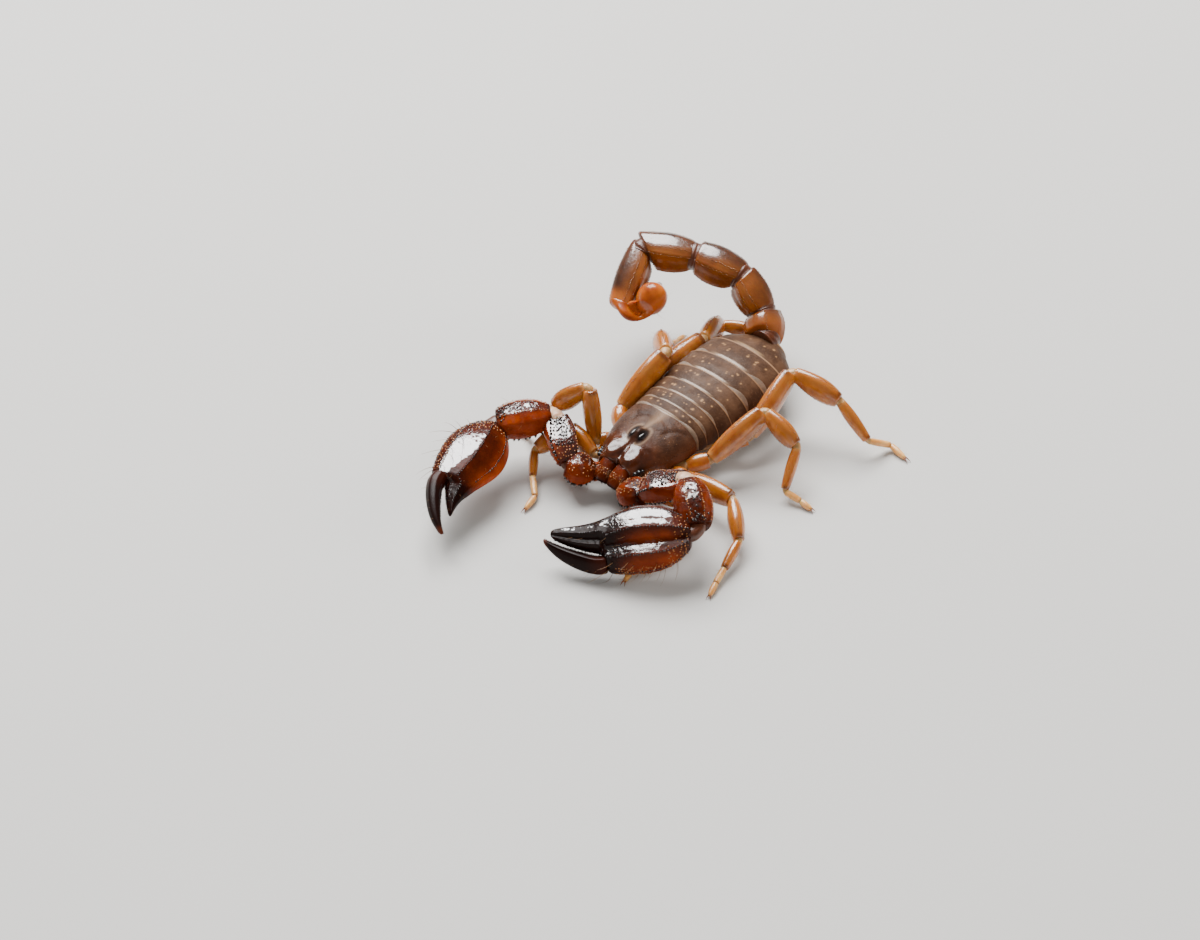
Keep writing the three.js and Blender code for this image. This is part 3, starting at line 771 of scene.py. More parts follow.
PLATE, SHIELD, CLAW, FINGER = plate_finish(), shield_finish(), claw_finish(), finger_finish()
LEG, FOOT, TAIL, TELSON = leg_finish(), foot_finish(), tail_finish(), telson_finish()
CLAW_GRAIN = grain_finish("claw grains", (0.006, 0.002, 0.0015))
# Bright grains whose colour is a painted glint of light on each bead.
GLINT_PAINTED_GRAIN = grain_finish("grains painted with glints", (0.22, 0.08, 0.022))
TAIL_GRAIN = grain_finish("tail grains", (0.13, 0.04, 0.008))
LEG_GRAIN = grain_finish("leg grains", (0.12, 0.035, 0.007))
TOE_CLAW = grain_finish("toe claw", (0.12, 0.03, 0.01))
HINGE_SKIN = skin_finish("hinge skin", (0.62, 0.38, 0.24))
DARK_SKIN = skin_finish("dark hinge skin", (0.09, 0.022, 0.006), 0.15)
MOUTH_SKIN = skin_finish("mouth skin", (0.17, 0.045, 0.012), 0.3)
LEG_SKIN = skin_finish("leg hinge skin", (0.52, 0.29, 0.11))
SIDE_SKIN = skin_finish("side skin", (0.17, 0.11, 0.072), 0.2)
BELLY = skin_finish("belly plate", (0.36, 0.18, 0.065), 0.3)
EYE = plain_finish("eye", 3, 3, (0.003, 0.003, 0.004), (0.012, 0.008, 0.007), Roughness=0.22,
                   Coat_Weight=0.12, Coat_Roughness=0.05, Specular_IOR_Level=0.4)
BRISTLE = plain_finish("bristle", 1.5, 3, (0.1, 0.04, 0.015), (0.34, 0.17, 0.06), Roughness=0.35,
                       Specular_IOR_Level=0.5)
FLOOR = plain_finish("pale floor", 0.02, 2, (0.5, 0.49, 0.47), (0.54, 0.53, 0.51), Roughness=0.75,
                     Specular_IOR_Level=0.2)


# ------------------------------------------------------------------ carapace and eyes

SHIELD_LENGTH, SHIELD_HALF_WIDTH = 4.8, 2.75
PLATE_HEIGHT, BACK_RISE = 2.05, 1.75
SHIELD_SKIRT = 0.3
EYE_PLACE = 0.47
shield_width = profile(0.5, 0.72, 0.88, 0.97, 1.0)
shield_rise = profile(0.42, 0.68, 0.85, 0.95, 0.96)

# Grooves of the shield on one side, as (distance from the midline, share of the length) points.
SIDE_GROOVES = [
    ([(0.45, 0.6), (0.85, 0.67), (1.25, 0.68)], 0.09, 0.04),
    ([(1.25, 0.68), (1.35, 0.76), (1.75, 0.87), (2.1, 0.9)], 0.12, 0.08),
    ([(0.55, 0.86), (1.0, 0.8), (1.35, 0.76)], 0.09, 0.045),
    ([(1.05, 0.32), (1.55, 0.36), (1.9, 0.42)], 0.12, 0.03),
]


def distance_to(path, x, y):
    best = 1e9
    for (x0, y0), (x1, y1) in zip(path, path[1:]):
        dx, dy = x1 - x0, y1 - y0
        share = held(((x - x0) * dx + (y - y0) * dy) / (dx * dx + dy * dy))
        best = min(best, math.hypot(x - x0 - share * dx, y - y0 - share * dy))
    return best


def shield_relief(x, t):
    """How far the top of the shield stands above its plain arch."""
    hill = 0.28 * bell(t - EYE_PLACE, 0.1) * bell(x, 0.45)
    hill += 0.2 * bell(t - EYE_PLACE, 0.12) * bell(x, 0.14)
    hollow = 0.14 * bell(t - 0.88, 0.12) * bell(x, 0.5)
    fore = held(t / 0.1) * (1 - held((t - 0.36) / 0.1))
    aft = held((t - 0.53) / 0.06) * (1 - held((t - 0.9) / 0.08))
    furrow = 0.12 * bell(x, 0.1) * (fore + 0.6 * aft) + 0.05 * bell(x, 0.08) * bell(t - EYE_PLACE, 0.1)
    side = 0.0
    for path, reach, depth in SIDE_GROOVES:
        apart = distance_to([(a, SHIELD_LENGTH * b) for a, b in path], abs(x), SHIELD_LENGTH * t)
        side += depth * bell(apart, reach * 1.3)
    return hill - hollow - furrow - side


def lobe(x, y, z):
    """How far the two polished lobes at the front stand above the plain shield."""
    apart = abs(x) - 0.66
    behind = z - 0.84
    inside = ramp(math.hypot(apart / 0.6, behind / 0.8), 1.05, 0.72)
    crown = 1.17 + 0.187 * behind - 0.18 * apart ** 2 - 0.09 * behind ** 2
    return inside * (crown - y)


def make_shield():
    points = [(x, y if y > 0 else y * SHIELD_SKIRT / BACK_RISE) for x, y in outline(56, 2.3)]
    stations = []
    for t in [0.0, 0.012, 0.03, 0.06, 0.1, 0.15, 0.2, 0.25, 0.3, 0.35, 0.4, 0.45, 0.5, 0.55, 0.6, 0.65,
              0.7, 0.75, 0.8, 0.85, 0.9, 0.94, 0.97, 0.99, 1.0]:
        drawn_in = 0.93 if t in (0.0, 1.0) else 1.0
        width = SHIELD_HALF_WIDTH * shield_width(t) * drawn_in
        stations.append((t * SHIELD_LENGTH, width, BACK_RISE * shield_rise(t) * drawn_in, 0, 0))
    piece = smooth(draw_out("shield", points, stations), 1)

    def press(x, y, z):
        t = z / SHIELD_LENGTH
        notch = 0.28 * bell(x, 0.3) * max(1 - t / 0.2, 0)
        rise = shield_relief(x, t) * held(y / (0.4 * BACK_RISE))
        if y > 0.3:
            rise += lobe(x, y + rise, z)
        return 0, rise, notch

    chart(smooth(reshape(piece, press), 1), SHIELD_LENGTH)
    eye_z = EYE_PLACE * SHIELD_LENGTH
    dark, pale = [], []
    for vertex in piece.data.vertices:
        x, y, z = vertex.co
        t = z / SHIELD_LENGTH
        near_eye = bell(math.hypot(abs(x) - 0.34, (z - eye_z) / 2.2), 0.24) * (y > 0)
        side_eye = bell(math.hypot((abs(x) - 1.62) / 0.8, (z - 0.45) / 1.4), 0.3)
        dark.append(held(max(1.6 * near_eye, 1.3 * side_eye)))
        wedge = bell(x, 0.1 + 0.75 * max(t - 0.55, 0)) * (0.55 < t < 0.99)
        rim = 0.9 * bell(math.hypot(abs(x) - 0.32, (z - eye_z) / 2.0) - 0.37, 0.06) * (abs(x) > 0.2)
        pale.append(max(0.75 * wedge, rim) if y > 0 else 0.0)
    note(piece, "dark", dark)
    note(piece, "pale", pale)
    return piece


def lay_shield():
    piece = paint(make_shield(), SHIELD, CLAW_GRAIN)
    draw = random.Random(5)
    spots = patch(25, 60, 0.55, 0.96, 7, 9, draw) + patch(120, 155, 0.55, 0.96, 7, 9, draw)
    spots += row(12, 0.03, 0.97, 34, draw, 2) + row(168, 0.03, 0.97, 34, draw, 2)
    piece = stud(piece, spots, 0.026, BEAD, 1, length=SHIELD_LENGTH, draw=draw)
    set_down(piece, aimed(Vector((0, -SHIELD_LENGTH, PLATE_HEIGHT)), BACKWARD))
    hand_in(piece, "back_plate", "carapace")


def eyeball(radius, stretch=1.0):
    """A lens set in a low rim."""
    deselect()
    bpy.ops.mesh.primitive_uv_sphere_add(segments=32, ring_count=20, radius=radius)
    ball = bpy.context.object
    open_up(ball, lambda vertex: vertex.co.z < -0.2 * radius)
    bpy.ops.transform.resize(value=(1.18, 1.18, 0.7), center_override=(0, 0, -0.2 * radius))
    close_up()
    open_up(ball)
    bpy.ops.transform.resize(value=(1, stretch, 1), center_override=(0, 0, 0))
    close_up()
    return smooth(ball, 1)


def lay_eyes(side, mirrored):
    hill_y = -SHIELD_LENGTH * (1 - EYE_PLACE)
    hill_z = PLATE_HEIGHT + BACK_RISE * shield_rise(EYE_PLACE)
    eye = paint(eyeball(0.19, 2.1), EYE)
    eye.name = f"{side}_middle_eye"
    place = aimed(Vector((0.31, hill_y, hill_z)), Vector((0.75, -0.05, 0.65)), BACKWARD)
    set_down(eye, place, mirrored)
    hand_in(eye, "eye", f"median_eye_{side}")
    cluster = []
    for x, y, z, radius in ((1.48, -4.54, 2.36, 0.14), (1.58, -4.3, 2.4, 0.15), (1.66, -4.06, 2.4, 0.12)):
        place = aimed(Vector((x, y, z)), Vector((0.85, -0.35, 0.35)), BACKWARD)
        cluster.append(move(eyeball(radius, 1.15), place))
    lenses = paint(join(cluster), EYE)
    lenses.name = f"{side}_side_eyes"
    set_down(lenses, mirrored=mirrored)
    hand_in(lenses, "eye", f"lateral_eyes_{side}")


# ------------------------------------------------------------------ trunk

BACK_LENGTHS = [0.75, 0.95, 1.15, 1.45, 1.75, 1.95, 2.3]
BACK_HALF_WIDTHS = [2.8, 2.95, 3.1, 3.25, 3.3, 3.2, 2.75]
TRUNK_END_HALF_WIDTH = 1.35
TRUNK_LENGTH = sum(BACK_LENGTHS)
trunk_rise = profile(0.97, 1.02, 1.07, 1.12, 1.12, 1.05, 0.88, 0.62)
trunk_belly = profile(1.9, 1.78, 1.3, 1.12, 1.12, 1.15, 1.3, 1.75)
trunk_side = profile(2.75, 2.84, 3.0, 3.2, 3.28, 3.2, 2.6, 1.4)


def arc(start, end, count, squareness=2.2, sink=0.5):
    """Part of a squared-off circle, from one angle to another, its lower half flattened by sink."""
    points = []
    for i in range(count):
        a = math.radians(start + (end - start) * i / (count - 1))
        c, s = math.cos(a), math.sin(a)
        x = math.copysign(abs(c) ** (2 / squareness), c)
        y = math.copysign(abs(s) ** (2 / squareness), s)
        points.append((x, y if y > 0 else y * sink))
    return points


def back_plate(index):
    before = sum(BACK_LENGTHS[:index])
    length, half = BACK_LENGTHS[index], BACK_HALF_WIDTHS[index]
    front = BACK_HALF_WIDTHS[index - 1] if index else SHIELD_HALF_WIDTH
    rear = half if index < 6 else TRUNK_END_HALF_WIDTH
    middle = (front + rear) / 2 + 0.03 if index < 6 else half
    width = profile(front - 0.02, middle, rear + 0.02)
    steps = [(-0.2, 0.94), (0.0, 0.95), (0.03, 0.957), (0.07, 0.968), (0.13, 0.976), (0.2, 0.983),
             (0.26, 0.988), (0.34, 0.997), (0.45, 1.003), (0.6, 1.004), (0.75, 1.001), (0.86, 0.998),
             (0.93, 0.998), (0.97, 1.006), (1.0, 1.012), (1.035, 1.006)]
    stations = []
    for t, size in steps:
        share = (before + held(t) * length) / TRUNK_LENGTH
        up = BACK_RISE * trunk_rise(share)
        stations.append((t * length, size * width(t), size * up, 0, 0))
    piece = draw_out(f"back_plate_{index + 1}", arc(-14, 194, 53), stations, closed=False)
    thicken(piece, 0.07, -1.0)
    return chart(smooth(piece, 2), length)


def dot_places(index, width, length, draw):
    """Where the pale dots of one plate lie: loose pairs of clusters either side of the midline."""
    dots = []
    for sign in (-1, 1):
        for cluster, count in ((0.2, 2), (0.4, 3), (0.62, 1)):
            for _ in range(count if index not in (0, 6) else 1):
                x = sign * (cluster + draw.uniform(-0.05, 0.05)) * width
                z = (0.56 + draw.uniform(-0.14, 0.18)) * length
                dots.append((x, z, draw.uniform(0.03, 0.075)))
    return dots


def lay_back_plates():
    draw = random.Random(11)
    for index in range(7):
        before = sum(BACK_LENGTHS[:index])
        piece = paint(back_plate(index), PLATE, CLAW_GRAIN)
        dots = dot_places(index, BACK_HALF_WIDTHS[index], BACK_LENGTHS[index], draw)
        values = []
        for vertex in piece.data.vertices:
            x, y, z = vertex.co
            near = max(bell(math.hypot(x - dx, z - dz), size) for dx, dz, size in dots)
            values.append(min(near, 1.0) if y > 0 else 0.0)
        note(piece, "spots", values)
        if index == 6:
            for degrees in (68, 78, 102, 112):
                piece = stud(piece, row(degrees, 0.3, 0.85, 10, draw, 1.0), 0.03, BEAD, 0,
                             length=BACK_LENGTHS[6], draw=draw)
        set_down(piece, aimed(Vector((0, before, PLATE_HEIGHT)), BACKWARD))
        hand_in(piece, "back_plate", f"trunk_{index + 1}")


def lay_side_skin():
    """The soft skin between the back and belly plates, in fine folds."""
    stations = []
    count = 60
    for i in range(count + 1):
        t = i / count
        end = 0.7 if i in (0, count) else 1.0
        width = end * (trunk_side(t) * 0.968 - 0.02 * math.cos(2 * math.pi * i / 5))
        height = end * BACK_RISE * trunk_rise(t) * 0.94
        stations.append((t * (TRUNK_LENGTH + 0.15) - 0.25, width, height, 0, 0))
    points = [(x, y if y > 0 else 0.5 * y) for x, y in outline(48, 2.5)]
    piece = draw_out("side_skin", points, stations)

    def sag(x, y, z):
        if y >= 0:
            return 0, 0, 0
        t = held(z / TRUNK_LENGTH)
        depth = (PLATE_HEIGHT - trunk_belly(t)) * 0.93
        plain = 0.5 * BACK_RISE * trunk_rise(t) * 0.94
        fold = 0.02 * math.sin(9 * y) * bell(abs(x) / trunk_side(t) - 0.95, 0.2)
        return math.copysign(fold, x), y * (depth / plain - 1), 0

    paint(chart(smooth(reshape(piece, sag), 1), TRUNK_LENGTH), SIDE_SKIN)
    set_down(piece, aimed(Vector((0, 0, PLATE_HEIGHT)), BACKWARD))
    hand_in(piece, "back_plate")


def lay_belly_plates():
    """Five plates across the belly."""
    spans = [(3.0, 1.35), (4.4, 1.45), (5.9, 1.6), (7.55, 1.35), (8.95, 1.15)]
    for number, (start, length) in enumerate(spans):
        stations = []
        for t, size in ((0, 0.955), (0.1, 0.985), (0.5, 1.0), (0.9, 1.0), (1.0, 1.0), (1.04, 0.985)):
            share = (start + t * length) / TRUNK_LENGTH
            depth = PLATE_HEIGHT - trunk_belly(share)
            stations.append((t * length, size * trunk_side(share) * 0.94, size * depth * 1.01, 0, 0))
        piece = draw_out(f"belly_plate_{number + 1}", arc(212, 328, 27, 2.5, 1.0), stations, closed=False)
        thicken(piece, 0.06, 1.0)
        paint(chart(smooth(piece, 1), length), BELLY)
        set_down(piece, aimed(Vector((0, start, PLATE_HEIGHT)), BACKWARD))
        hand_in(piece, "belly_plate")


# ------------------------------------------------------------------ tail

TAIL_LENGTHS = [1.9, 2.75, 3.2, 3.4, 4.4]
TAIL_HALF_WIDTHS = [1.22, 1.18, 1.17, 1.14, 1.02]
TAIL_HEADINGS = [(138, 24), (172, 41), (201, 14), (211, 3), (285, -34)]
TAIL_START = Vector((-0.25, TRUNK_LENGTH + 0.02, 2.8))
CURL = Vector((0.45, -0.5, -0.4))
TELSON_LENGTH, TELSON_HALF_WIDTH = 3.3, 1.05
TELSON_BACK, TELSON_INSET, TELSON_SIDE = 0.45, 1.7, 1.1
TELSON_UP = Vector((0.5, -0.55, 0.67))
# How far the keels of each segment are turned round it, in degrees.
TAIL_TURNS = (0, -19, 17, 22, 3)
# How orange each segment gets towards one end, and the shares of its length where that begins and is full;
# this orange is partly a painted highlight glow, most of all on the first segment.
TAIL_GLOW = ((0.5, 1.05, 0.35), (0.15, 0.6, 0.0), (0, 0, 1), (0, 0, 1), (0.9, 0.68, 0.86))

tail_axes = [heading(*way) for way in TAIL_HEADINGS]
tail_joints = [TAIL_START.copy()]
for tail_axis, tail_length in zip(tail_axes, TAIL_LENGTHS):
    tail_joints.append(tail_joints[-1] + tail_axis * tail_length)


def tail_swell(index):
    if index == 0:
        return profile(0.72, 0.96, 1.02, 0.99, 0.84)
    if index == 4:
        return profile(0.78, 0.97, 1.03, 1.0, 0.9, 0.7)
    return profile(0.76, 0.96, 1.04, 1.0, 0.82)


def lean_ends(piece, place, length, first_normal, last_normal, reach=0.3):
    """Leans the rings near the two ends of a piece towards the planes where it meets its neighbours."""
    turn = place.to_3x3().inverted()
    near = turn @ first_normal
    far = turn @ last_normal

    def lean(x, y, z):
        step = 0.0
        if z < reach * length:
            step -= (near.x * x + near.y * y) / near.z * (1 - z / (reach * length))
        if z > (1 - reach) * length:
            step -= (far.x * x + far.y * y) / far.z * (z / length - 1 + reach) / reach
        return 0, 0, step

    return reshape(piece, lean)


def tail_piece(index):
    """One tail segment: keels along its upper edges and sides, a shallow furrow between the upper pair."""
    length, half = TAIL_LENGTHS[index], TAIL_HALF_WIDTHS[index]
    swell = tail_swell(index)
    keels = [(52, 0.07), (128, 0.07), (8, 0.03), (172, 0.03), (232, 0.045), (308, 0.045)]
    points = outline(36, 2.6, keels, 6)
    gap = 0.02 * length
    stations = []
    plain = [(t, 1) for t in (0.08, 0.16, 0.26, 0.38, 0.5, 0.62, 0.74, 0.84)]
    for t, size in [(0, 0.7), (0.012, 0.84), (0.035, 0.95), *plain, (0.9, 1.02), (0.95, 1.03), (0.975, 0.97),
                    (1, 0.78)]:
        width = size * half * swell(t)
        stations.append((gap + t * (length - 2 * gap), width, 0.94 * width, 0, 0))
    piece = draw_out(f"tail_piece_{index + 1}", points, stations)

    def press(x, y, z):
        t = (z - gap) / (length - 2 * gap)
        inside = held(t / 0.15) * held((1 - t) / 0.15)
        furrow = 0.1 * half * bell(x / half, 0.3) * inside if y > 0 else 0
        flank = 0.05 * half * bell(y / half - 0.15, 0.28) * inside
        return -math.copysign(flank, x), -furrow, 0

    reshape(piece, press)
    turn = math.radians(TAIL_TURNS[index])
    c, s = math.cos(turn), math.sin(turn)
    reshape(piece, lambda x, y, z: (c * x - s * y - x, s * x + c * y - y, 0))
    place = aimed(tail_joints[index], tail_axes[index], CURL)
    first = tail_axes[index] + (tail_axes[index - 1] if index else BACKWARD)
    last = tail_axes[index] + (tail_axes[index + 1] if index < 4 else tail_axes[index])
    lean_ends(piece, place, length, first.normalized(), last.normalized())
    smooth(piece, 2)
    return chart(piece, length), place


def hinge(name, start, end, start_axis, end_axis, near_size, far_size, skin, flat=1.0, folds=3, up=UP):
    """A soft tube of skin between two joined pieces, bent from one axis to the other, finely folded."""
    steps = 14
    ring = outline(28, 2.3)
    points, corners = [], []
    span = (end - start).length
    for i in range(steps + 1):
        t = i / steps
        pull = span * 0.4
        a, b = start + start_axis * pull, end - end_axis * pull
        middle = (1 - t) ** 3 * start + 3 * t * (1 - t) ** 2 * a + 3 * t * t * (1 - t) * b + t ** 3 * end
        way = (start_axis * (1 - t) + end_axis * t).normalized()
        size = near_size + (far_size - near_size) * t + 0.025 * near_size * math.cos(2 * math.pi * folds * t)
        turn = aimed(middle, way, up)
        points += [turn @ Vector((x * size, y * size * flat, 0)) for x, y in ring]
    count = len(ring)
    for i in range(steps):
        for j in range(count):
            k = (j + 1) % count
            corners.append((i * count + j, i * count + k, (i + 1) * count + k, (i + 1) * count + j))
    corners.append(tuple(range(count))[::-1])
    corners.append(tuple(steps * count + j for j in range(count)))
    mesh = bpy.data.meshes.new(name)
    mesh.from_pydata([tuple(point) for point in points], [], corners)
    piece = bpy.data.objects.new(name, mesh)
    bpy.context.scene.collection.objects.link(piece)
    smooth(piece, 1)
    return paint(piece, skin)


def lay_tail():
    draw = random.Random(21)
    for index in range(5):
        length = TAIL_LENGTHS[index]
        piece, place = tail_piece(index)
        paint(piece, TAIL, TAIL_GRAIN)
        count = int(9 * length)
        most, first, full = TAIL_GLOW[index]
        shares = [vertex.co.z / length for vertex in piece.data.vertices]
        # The orange noted here is partly a painted highlight glow.
        note(piece, "tip", [most * ramp(t, first, full) for t in shares])
        spots = row(52, 0.08, 0.95, count, draw, 1.5) + row(128, 0.08, 0.95, count, draw, 1.5)
        spots += row(26, 0.1, 0.92, count - 4, draw, 2) + row(154, 0.1, 0.92, count - 4, draw, 2)
        spots += row(232, 0.1, 0.95, count - 2, draw, 2) + row(308, 0.1, 0.95, count - 2, draw, 2)
        spots = [(t, degrees + TAIL_TURNS[index]) for t, degrees in spots]
        piece = stud(piece, spots, 0.045, BEAD, 1, length=length, draw=draw)
        fine = patch(60, 120, 0.1, 0.9, 6, 14, draw) + patch(-15, 20, 0.1, 0.9, 4, 14, draw)
        piece = stud(piece, fine, 0.022, BEAD, 1, length=length, draw=draw)
        set_down(piece, place)
        hand_in(piece, "tail", f"tail_{index + 1}")
    for index, (joint, axis) in enumerate(zip(tail_joints, tail_axes)):
        before = tail_axes[index - 1] if index else BACKWARD
        back = joint - before * (0.42 if index else 0.5)
        size = 0.8 * TAIL_HALF_WIDTHS[max(index - 1, 0)]
        skin = hinge(f"tail_hinge_{index + 1}", back, joint + axis * 0.42, before, axis, size, size,
                     DARK_SKIN, 0.94, up=CURL)
        set_down(skin)
        hand_in(skin, "tail")


def telson_place():
    axis, before = tail_axes[4], tail_axes[3]
    inner = (before - axis * before.dot(axis)).normalized()
    root = tail_joints[5] - axis * TELSON_BACK - inner * TELSON_INSET + inner.cross(axis) * TELSON_SIDE
    return root, axis, inner


def lay_telson():
    """The bulb and its curved sting in one, and the soft neck before it."""

    def middle(t):
        return 0, drop(t)

    bulb = profile(0.5, 0.84, 1.0, 0.96, 0.74, 0.42, 0.26, 0.18, 0.03)
    drop = profile(0, 0.04, 0.1, 0.08, -0.08, -0.3, -0.62, -1.1)
    stations = []
    for t in (0, 0.015, 0.04, 0.08, 0.14, 0.2, 0.27, 0.34, 0.41, 0.48, 0.55, 0.62, 0.69, 0.76, 0.83, 0.9,
              0.96, 1):
        size = TELSON_HALF_WIDTH * bulb(t) * (0.75 if t == 0 else 1)
        stations.append((t * TELSON_LENGTH, 0.95 * size, 1.15 * size, 0, drop(t)))
    piece = draw_out("sting_bulb", outline(32, 2.1), stations)

    def press(x, y, z):
        t = z / TELSON_LENGTH
        furrow = 0.05 * (bell(x - 0.3, 0.12) + bell(x + 0.3, 0.12)) * bell(t - 0.3, 0.22) if y < 0 else 0
        return 0, furrow, 0

    smooth(reshape(piece, press), 2)
    paint(chart(piece, TELSON_LENGTH, middle), TELSON, TAIL_GRAIN)
    draw = random.Random(31)
    spots = patch(200, 340, 0.08, 0.5, 9, 10, draw)
    piece = stud(piece, spots, 0.024, BEAD, 1, middle, TELSON_LENGTH, draw)
    root, axis, inner = telson_place()
    way = heading(107, 7)
    place = aimed(root, way, TELSON_UP)
    plant("tail", piece, place, False, patch(190, 350, 0.1, 0.6, 4, 4, draw), (0.5, 0.9), TELSON_LENGTH, 21,
          draw, centre=middle)
    set_down(piece, place)
    hand_in(piece, "telson", "telson")
    back = tail_joints[5] - axis * 0.6
    neck = hinge("sting_neck", back, root + way * 0.35, axis, way, 0.86, 0.6, TELSON, folds=1, up=CURL)
    # Charted so long that it keeps clear of the dark end of the bulb's finish.
    chart(neck, 1e6)
    set_down(neck)
    hand_in(neck, "telson")


# ------------------------------------------------------------------ bristles

BRISTLES = {"tail": [], "body": [], "arm_left": [], "arm_right": [], "legs_left": [], "legs_right": []}


def plant(region, piece, place, mirrored, spots, lengths, length, cell, draw, lay=0.45,
          centre=lambda t: (0, 0)):
    """Roots bristles in a piece on the bench at spots, and remembers where each will stand."""
    skin = surface_of(piece)
    turn = (MIRROR if mirrored else STILL) @ place
    column, line = cell % 6, cell // 6
    for t, degrees in spots:
        found = touch(skin, t * length, degrees, centre(t))
        if not found:
            continue
        point, normal = found
        size = draw.uniform(*lengths)
        lean = Vector((draw.uniform(-0.4, 0.4), draw.uniform(-0.4, 0.4), 1)).normalized()
        matrix = turn @ seat(point - normal * 0.02, normal, size, lean, lay)
        u = (column + 0.05 + 0.88 * t) / 6
        v = (line + 0.05 + 0.88 * ((degrees % 360) / 360)) / 6
        BRISTLES[region].append((matrix, (u, v)))


def lay_bristles():
    slots = {"tail": "tail", "body": "back_plate", "arm_left": "claw_arm", "arm_right": "claw_arm",
             "legs_left": "leg", "legs_right": "leg"}
    for region, planted in BRISTLES.items():
        if not planted:
            continue
        model = bristle_model()
        places = [matrix for matrix, _ in planted]
        piece = copies(f"{region}_bristles", model, places, [spot for _, spot in planted])
        put_away(model)
        paint(piece, BRISTLE)
        set_down(piece)
        hand_in(stand(piece), slots[region])


# ------------------------------------------------------------------ claw arms

ARM_PARTS = ("coxa", "trochanter", "femur", "patella", "claw")
ARM_LENGTHS = (0.9, 1.5, 3.65, 3.95, 9.5)
ARM_END_RADII = (0.12, 0.22, 0.22, 0.3, 0)
SHOULDER = Vector((0.95, -4.64, 1.4))
ARM_POSE = {
    "left": ((-60, 5), (-5, 25), (25, 36), (-39, -18), (-144, -7)),
    "right": ((-60, 5), (-35, 12), (35, 27), (-48, -7), (-114, -6)),
}
CLAW_EDGE = {"left": (-48, -47), "right": (-25, 17)}
FINGER_OPENING = {"left": 0, "right": 1}
FIXED_FINGER_SHARE = {"left": 1.0, "right": 0.68}
FINGER_HOLLOW = {"left": 0.0, "right": 0.16}
HINGE_SHARE, HINGE_OFFSET = 0.57, 2.1

coxa_size = profile(0.34, 0.44, 0.48)
trochanter_size = profile(0.5, 0.92, 1.08, 1.02, 0.62)
femur_size = profile(0.5, 0.78, 0.92, 0.97, 0.93, 0.72)
FEMUR_TOP = {
    "left": profile(0.56, 1.0, 1.02, 0.76, 0.5, 0.34),
    "right": profile(0.5, 0.88, 0.9, 0.73, 0.55, 0.4),
}
femur_low = profile(0.42, 0.64, 0.74, 0.8, 0.8, 0.62)
patella_size = profile(0.58, 0.95, 1.12, 1.17, 1.08, 0.8)
PALM_INNER = {
    "left": profile(0.85, 1.45, 1.76, 1.87, 1.82, 1.58, 1.2, 0.88, 0.72, 0.64, 0.5),
    "right": profile(0.85, 1.45, 1.72, 1.75, 1.55, 1.1, 0.6, 0.26, 0.04, -0.08, -0.1),
}
palm_edge = profile(0.85, 1.65, 2.1, 2.3, 2.36, 2.35, 2.26)
FIXED_EDGE = {
    "left": profile(1.14, 0.99, 0.76, 0.44, 0.02),
    "right": profile(1.3, 1.12, 0.9, 0.62, 0.3),
}
palm_depth = profile(0.75, 1.04, 1.2, 1.24, 1.18, 1.04, 0.84, 0.62, 0.46, 0.33, 0.2)
# The inner edge of the polished leaf shape on the right palm, as a share of the half width.
leaf_inner = profile(0.6, 0.14, -0.04, -0.04, 0.04, 0.2, 0.4, 0.46, 0.42, 0.4, 0.4)
finger_outer = profile(2.28, 2.35, 2.21, 1.95, 1.59, 1.09, 0.32)
finger_inner = profile(-1.1, -1.16, -1.0, -0.8, -0.58, -0.32, 0.0)
finger_depth = profile(0.78, 0.72, 0.63, 0.55, 0.45, 0.34, 0.2)


def palm_outer(t, side):
    """The palm's outer edge, which steps in past the hinge to the edge of the fixed finger."""
    share = ramp(t, 0.59, 0.645)
    return palm_edge(t / 0.6) * (1 - share) + FIXED_EDGE[side]((t - 0.6) / 0.4) * share


def palm_polish(share, t, side):
    """How polished the palm is at this share of its half width and of its length."""
    if side == "right":
        low = leaf_inner(t)
        leaf = ramp(share, low - 0.06, low + 0.1) * ramp(share, 0.92, 0.78)
        return leaf * (0.5 + 0.5 * ramp(t, 0.18, 0.38)) * (1 - 0.3 * ramp(t, 0.66, 0.8))
    edge = -0.38 - 0.2 * ramp(t, 0.5, 0.64)
    streak = 1 - 0.8 * bell(share + 0.62, 0.045) * ramp(t, 0.5, 0.4)
    upper = ramp(share, edge, edge - 0.12) * ramp(t, 0.08, 0.2) * streak
    lower = ramp(share, -0.02, 0.08) * ramp(share, 0.42, 0.34) * ramp(t, 0.12, 0.3) * ramp(t, 0.66, 0.58)
    return max(upper * (1 - 0.6 * ramp(t, 0.52, 0.66)), 0.72 * lower)


def facets(corners, per_side=4, bulge=0.04):
    """A closed section with nearly flat faces between its corners."""
    points = []
    for (x0, y0), (x1, y1) in zip(corners, corners[1:] + corners[:1]):
        for i in range(per_side):
            f = i / per_side
            lift = 4 * bulge * f * (1 - f)
            dx, dy = x1 - x0, y1 - y0
            points.append((x0 + f * dx + lift * dy, y0 + f * dy - lift * dx))
    return points


def chain(start, links):
    """Where the pieces of a limb start and how long they are, held back at each bend."""
    joint, back, placed = start.copy(), 0.0, []
    for i, (length, axis, radius) in enumerate(links):
        ahead = 0.0
        if i + 1 < len(links):
            ahead = radius * math.tan(axis.angle(links[i + 1][1]) / 2) + 0.02
        placed.append((joint + axis * back, axis, length - back - ahead))
        joint = joint + axis * length
        back = ahead
    return placed


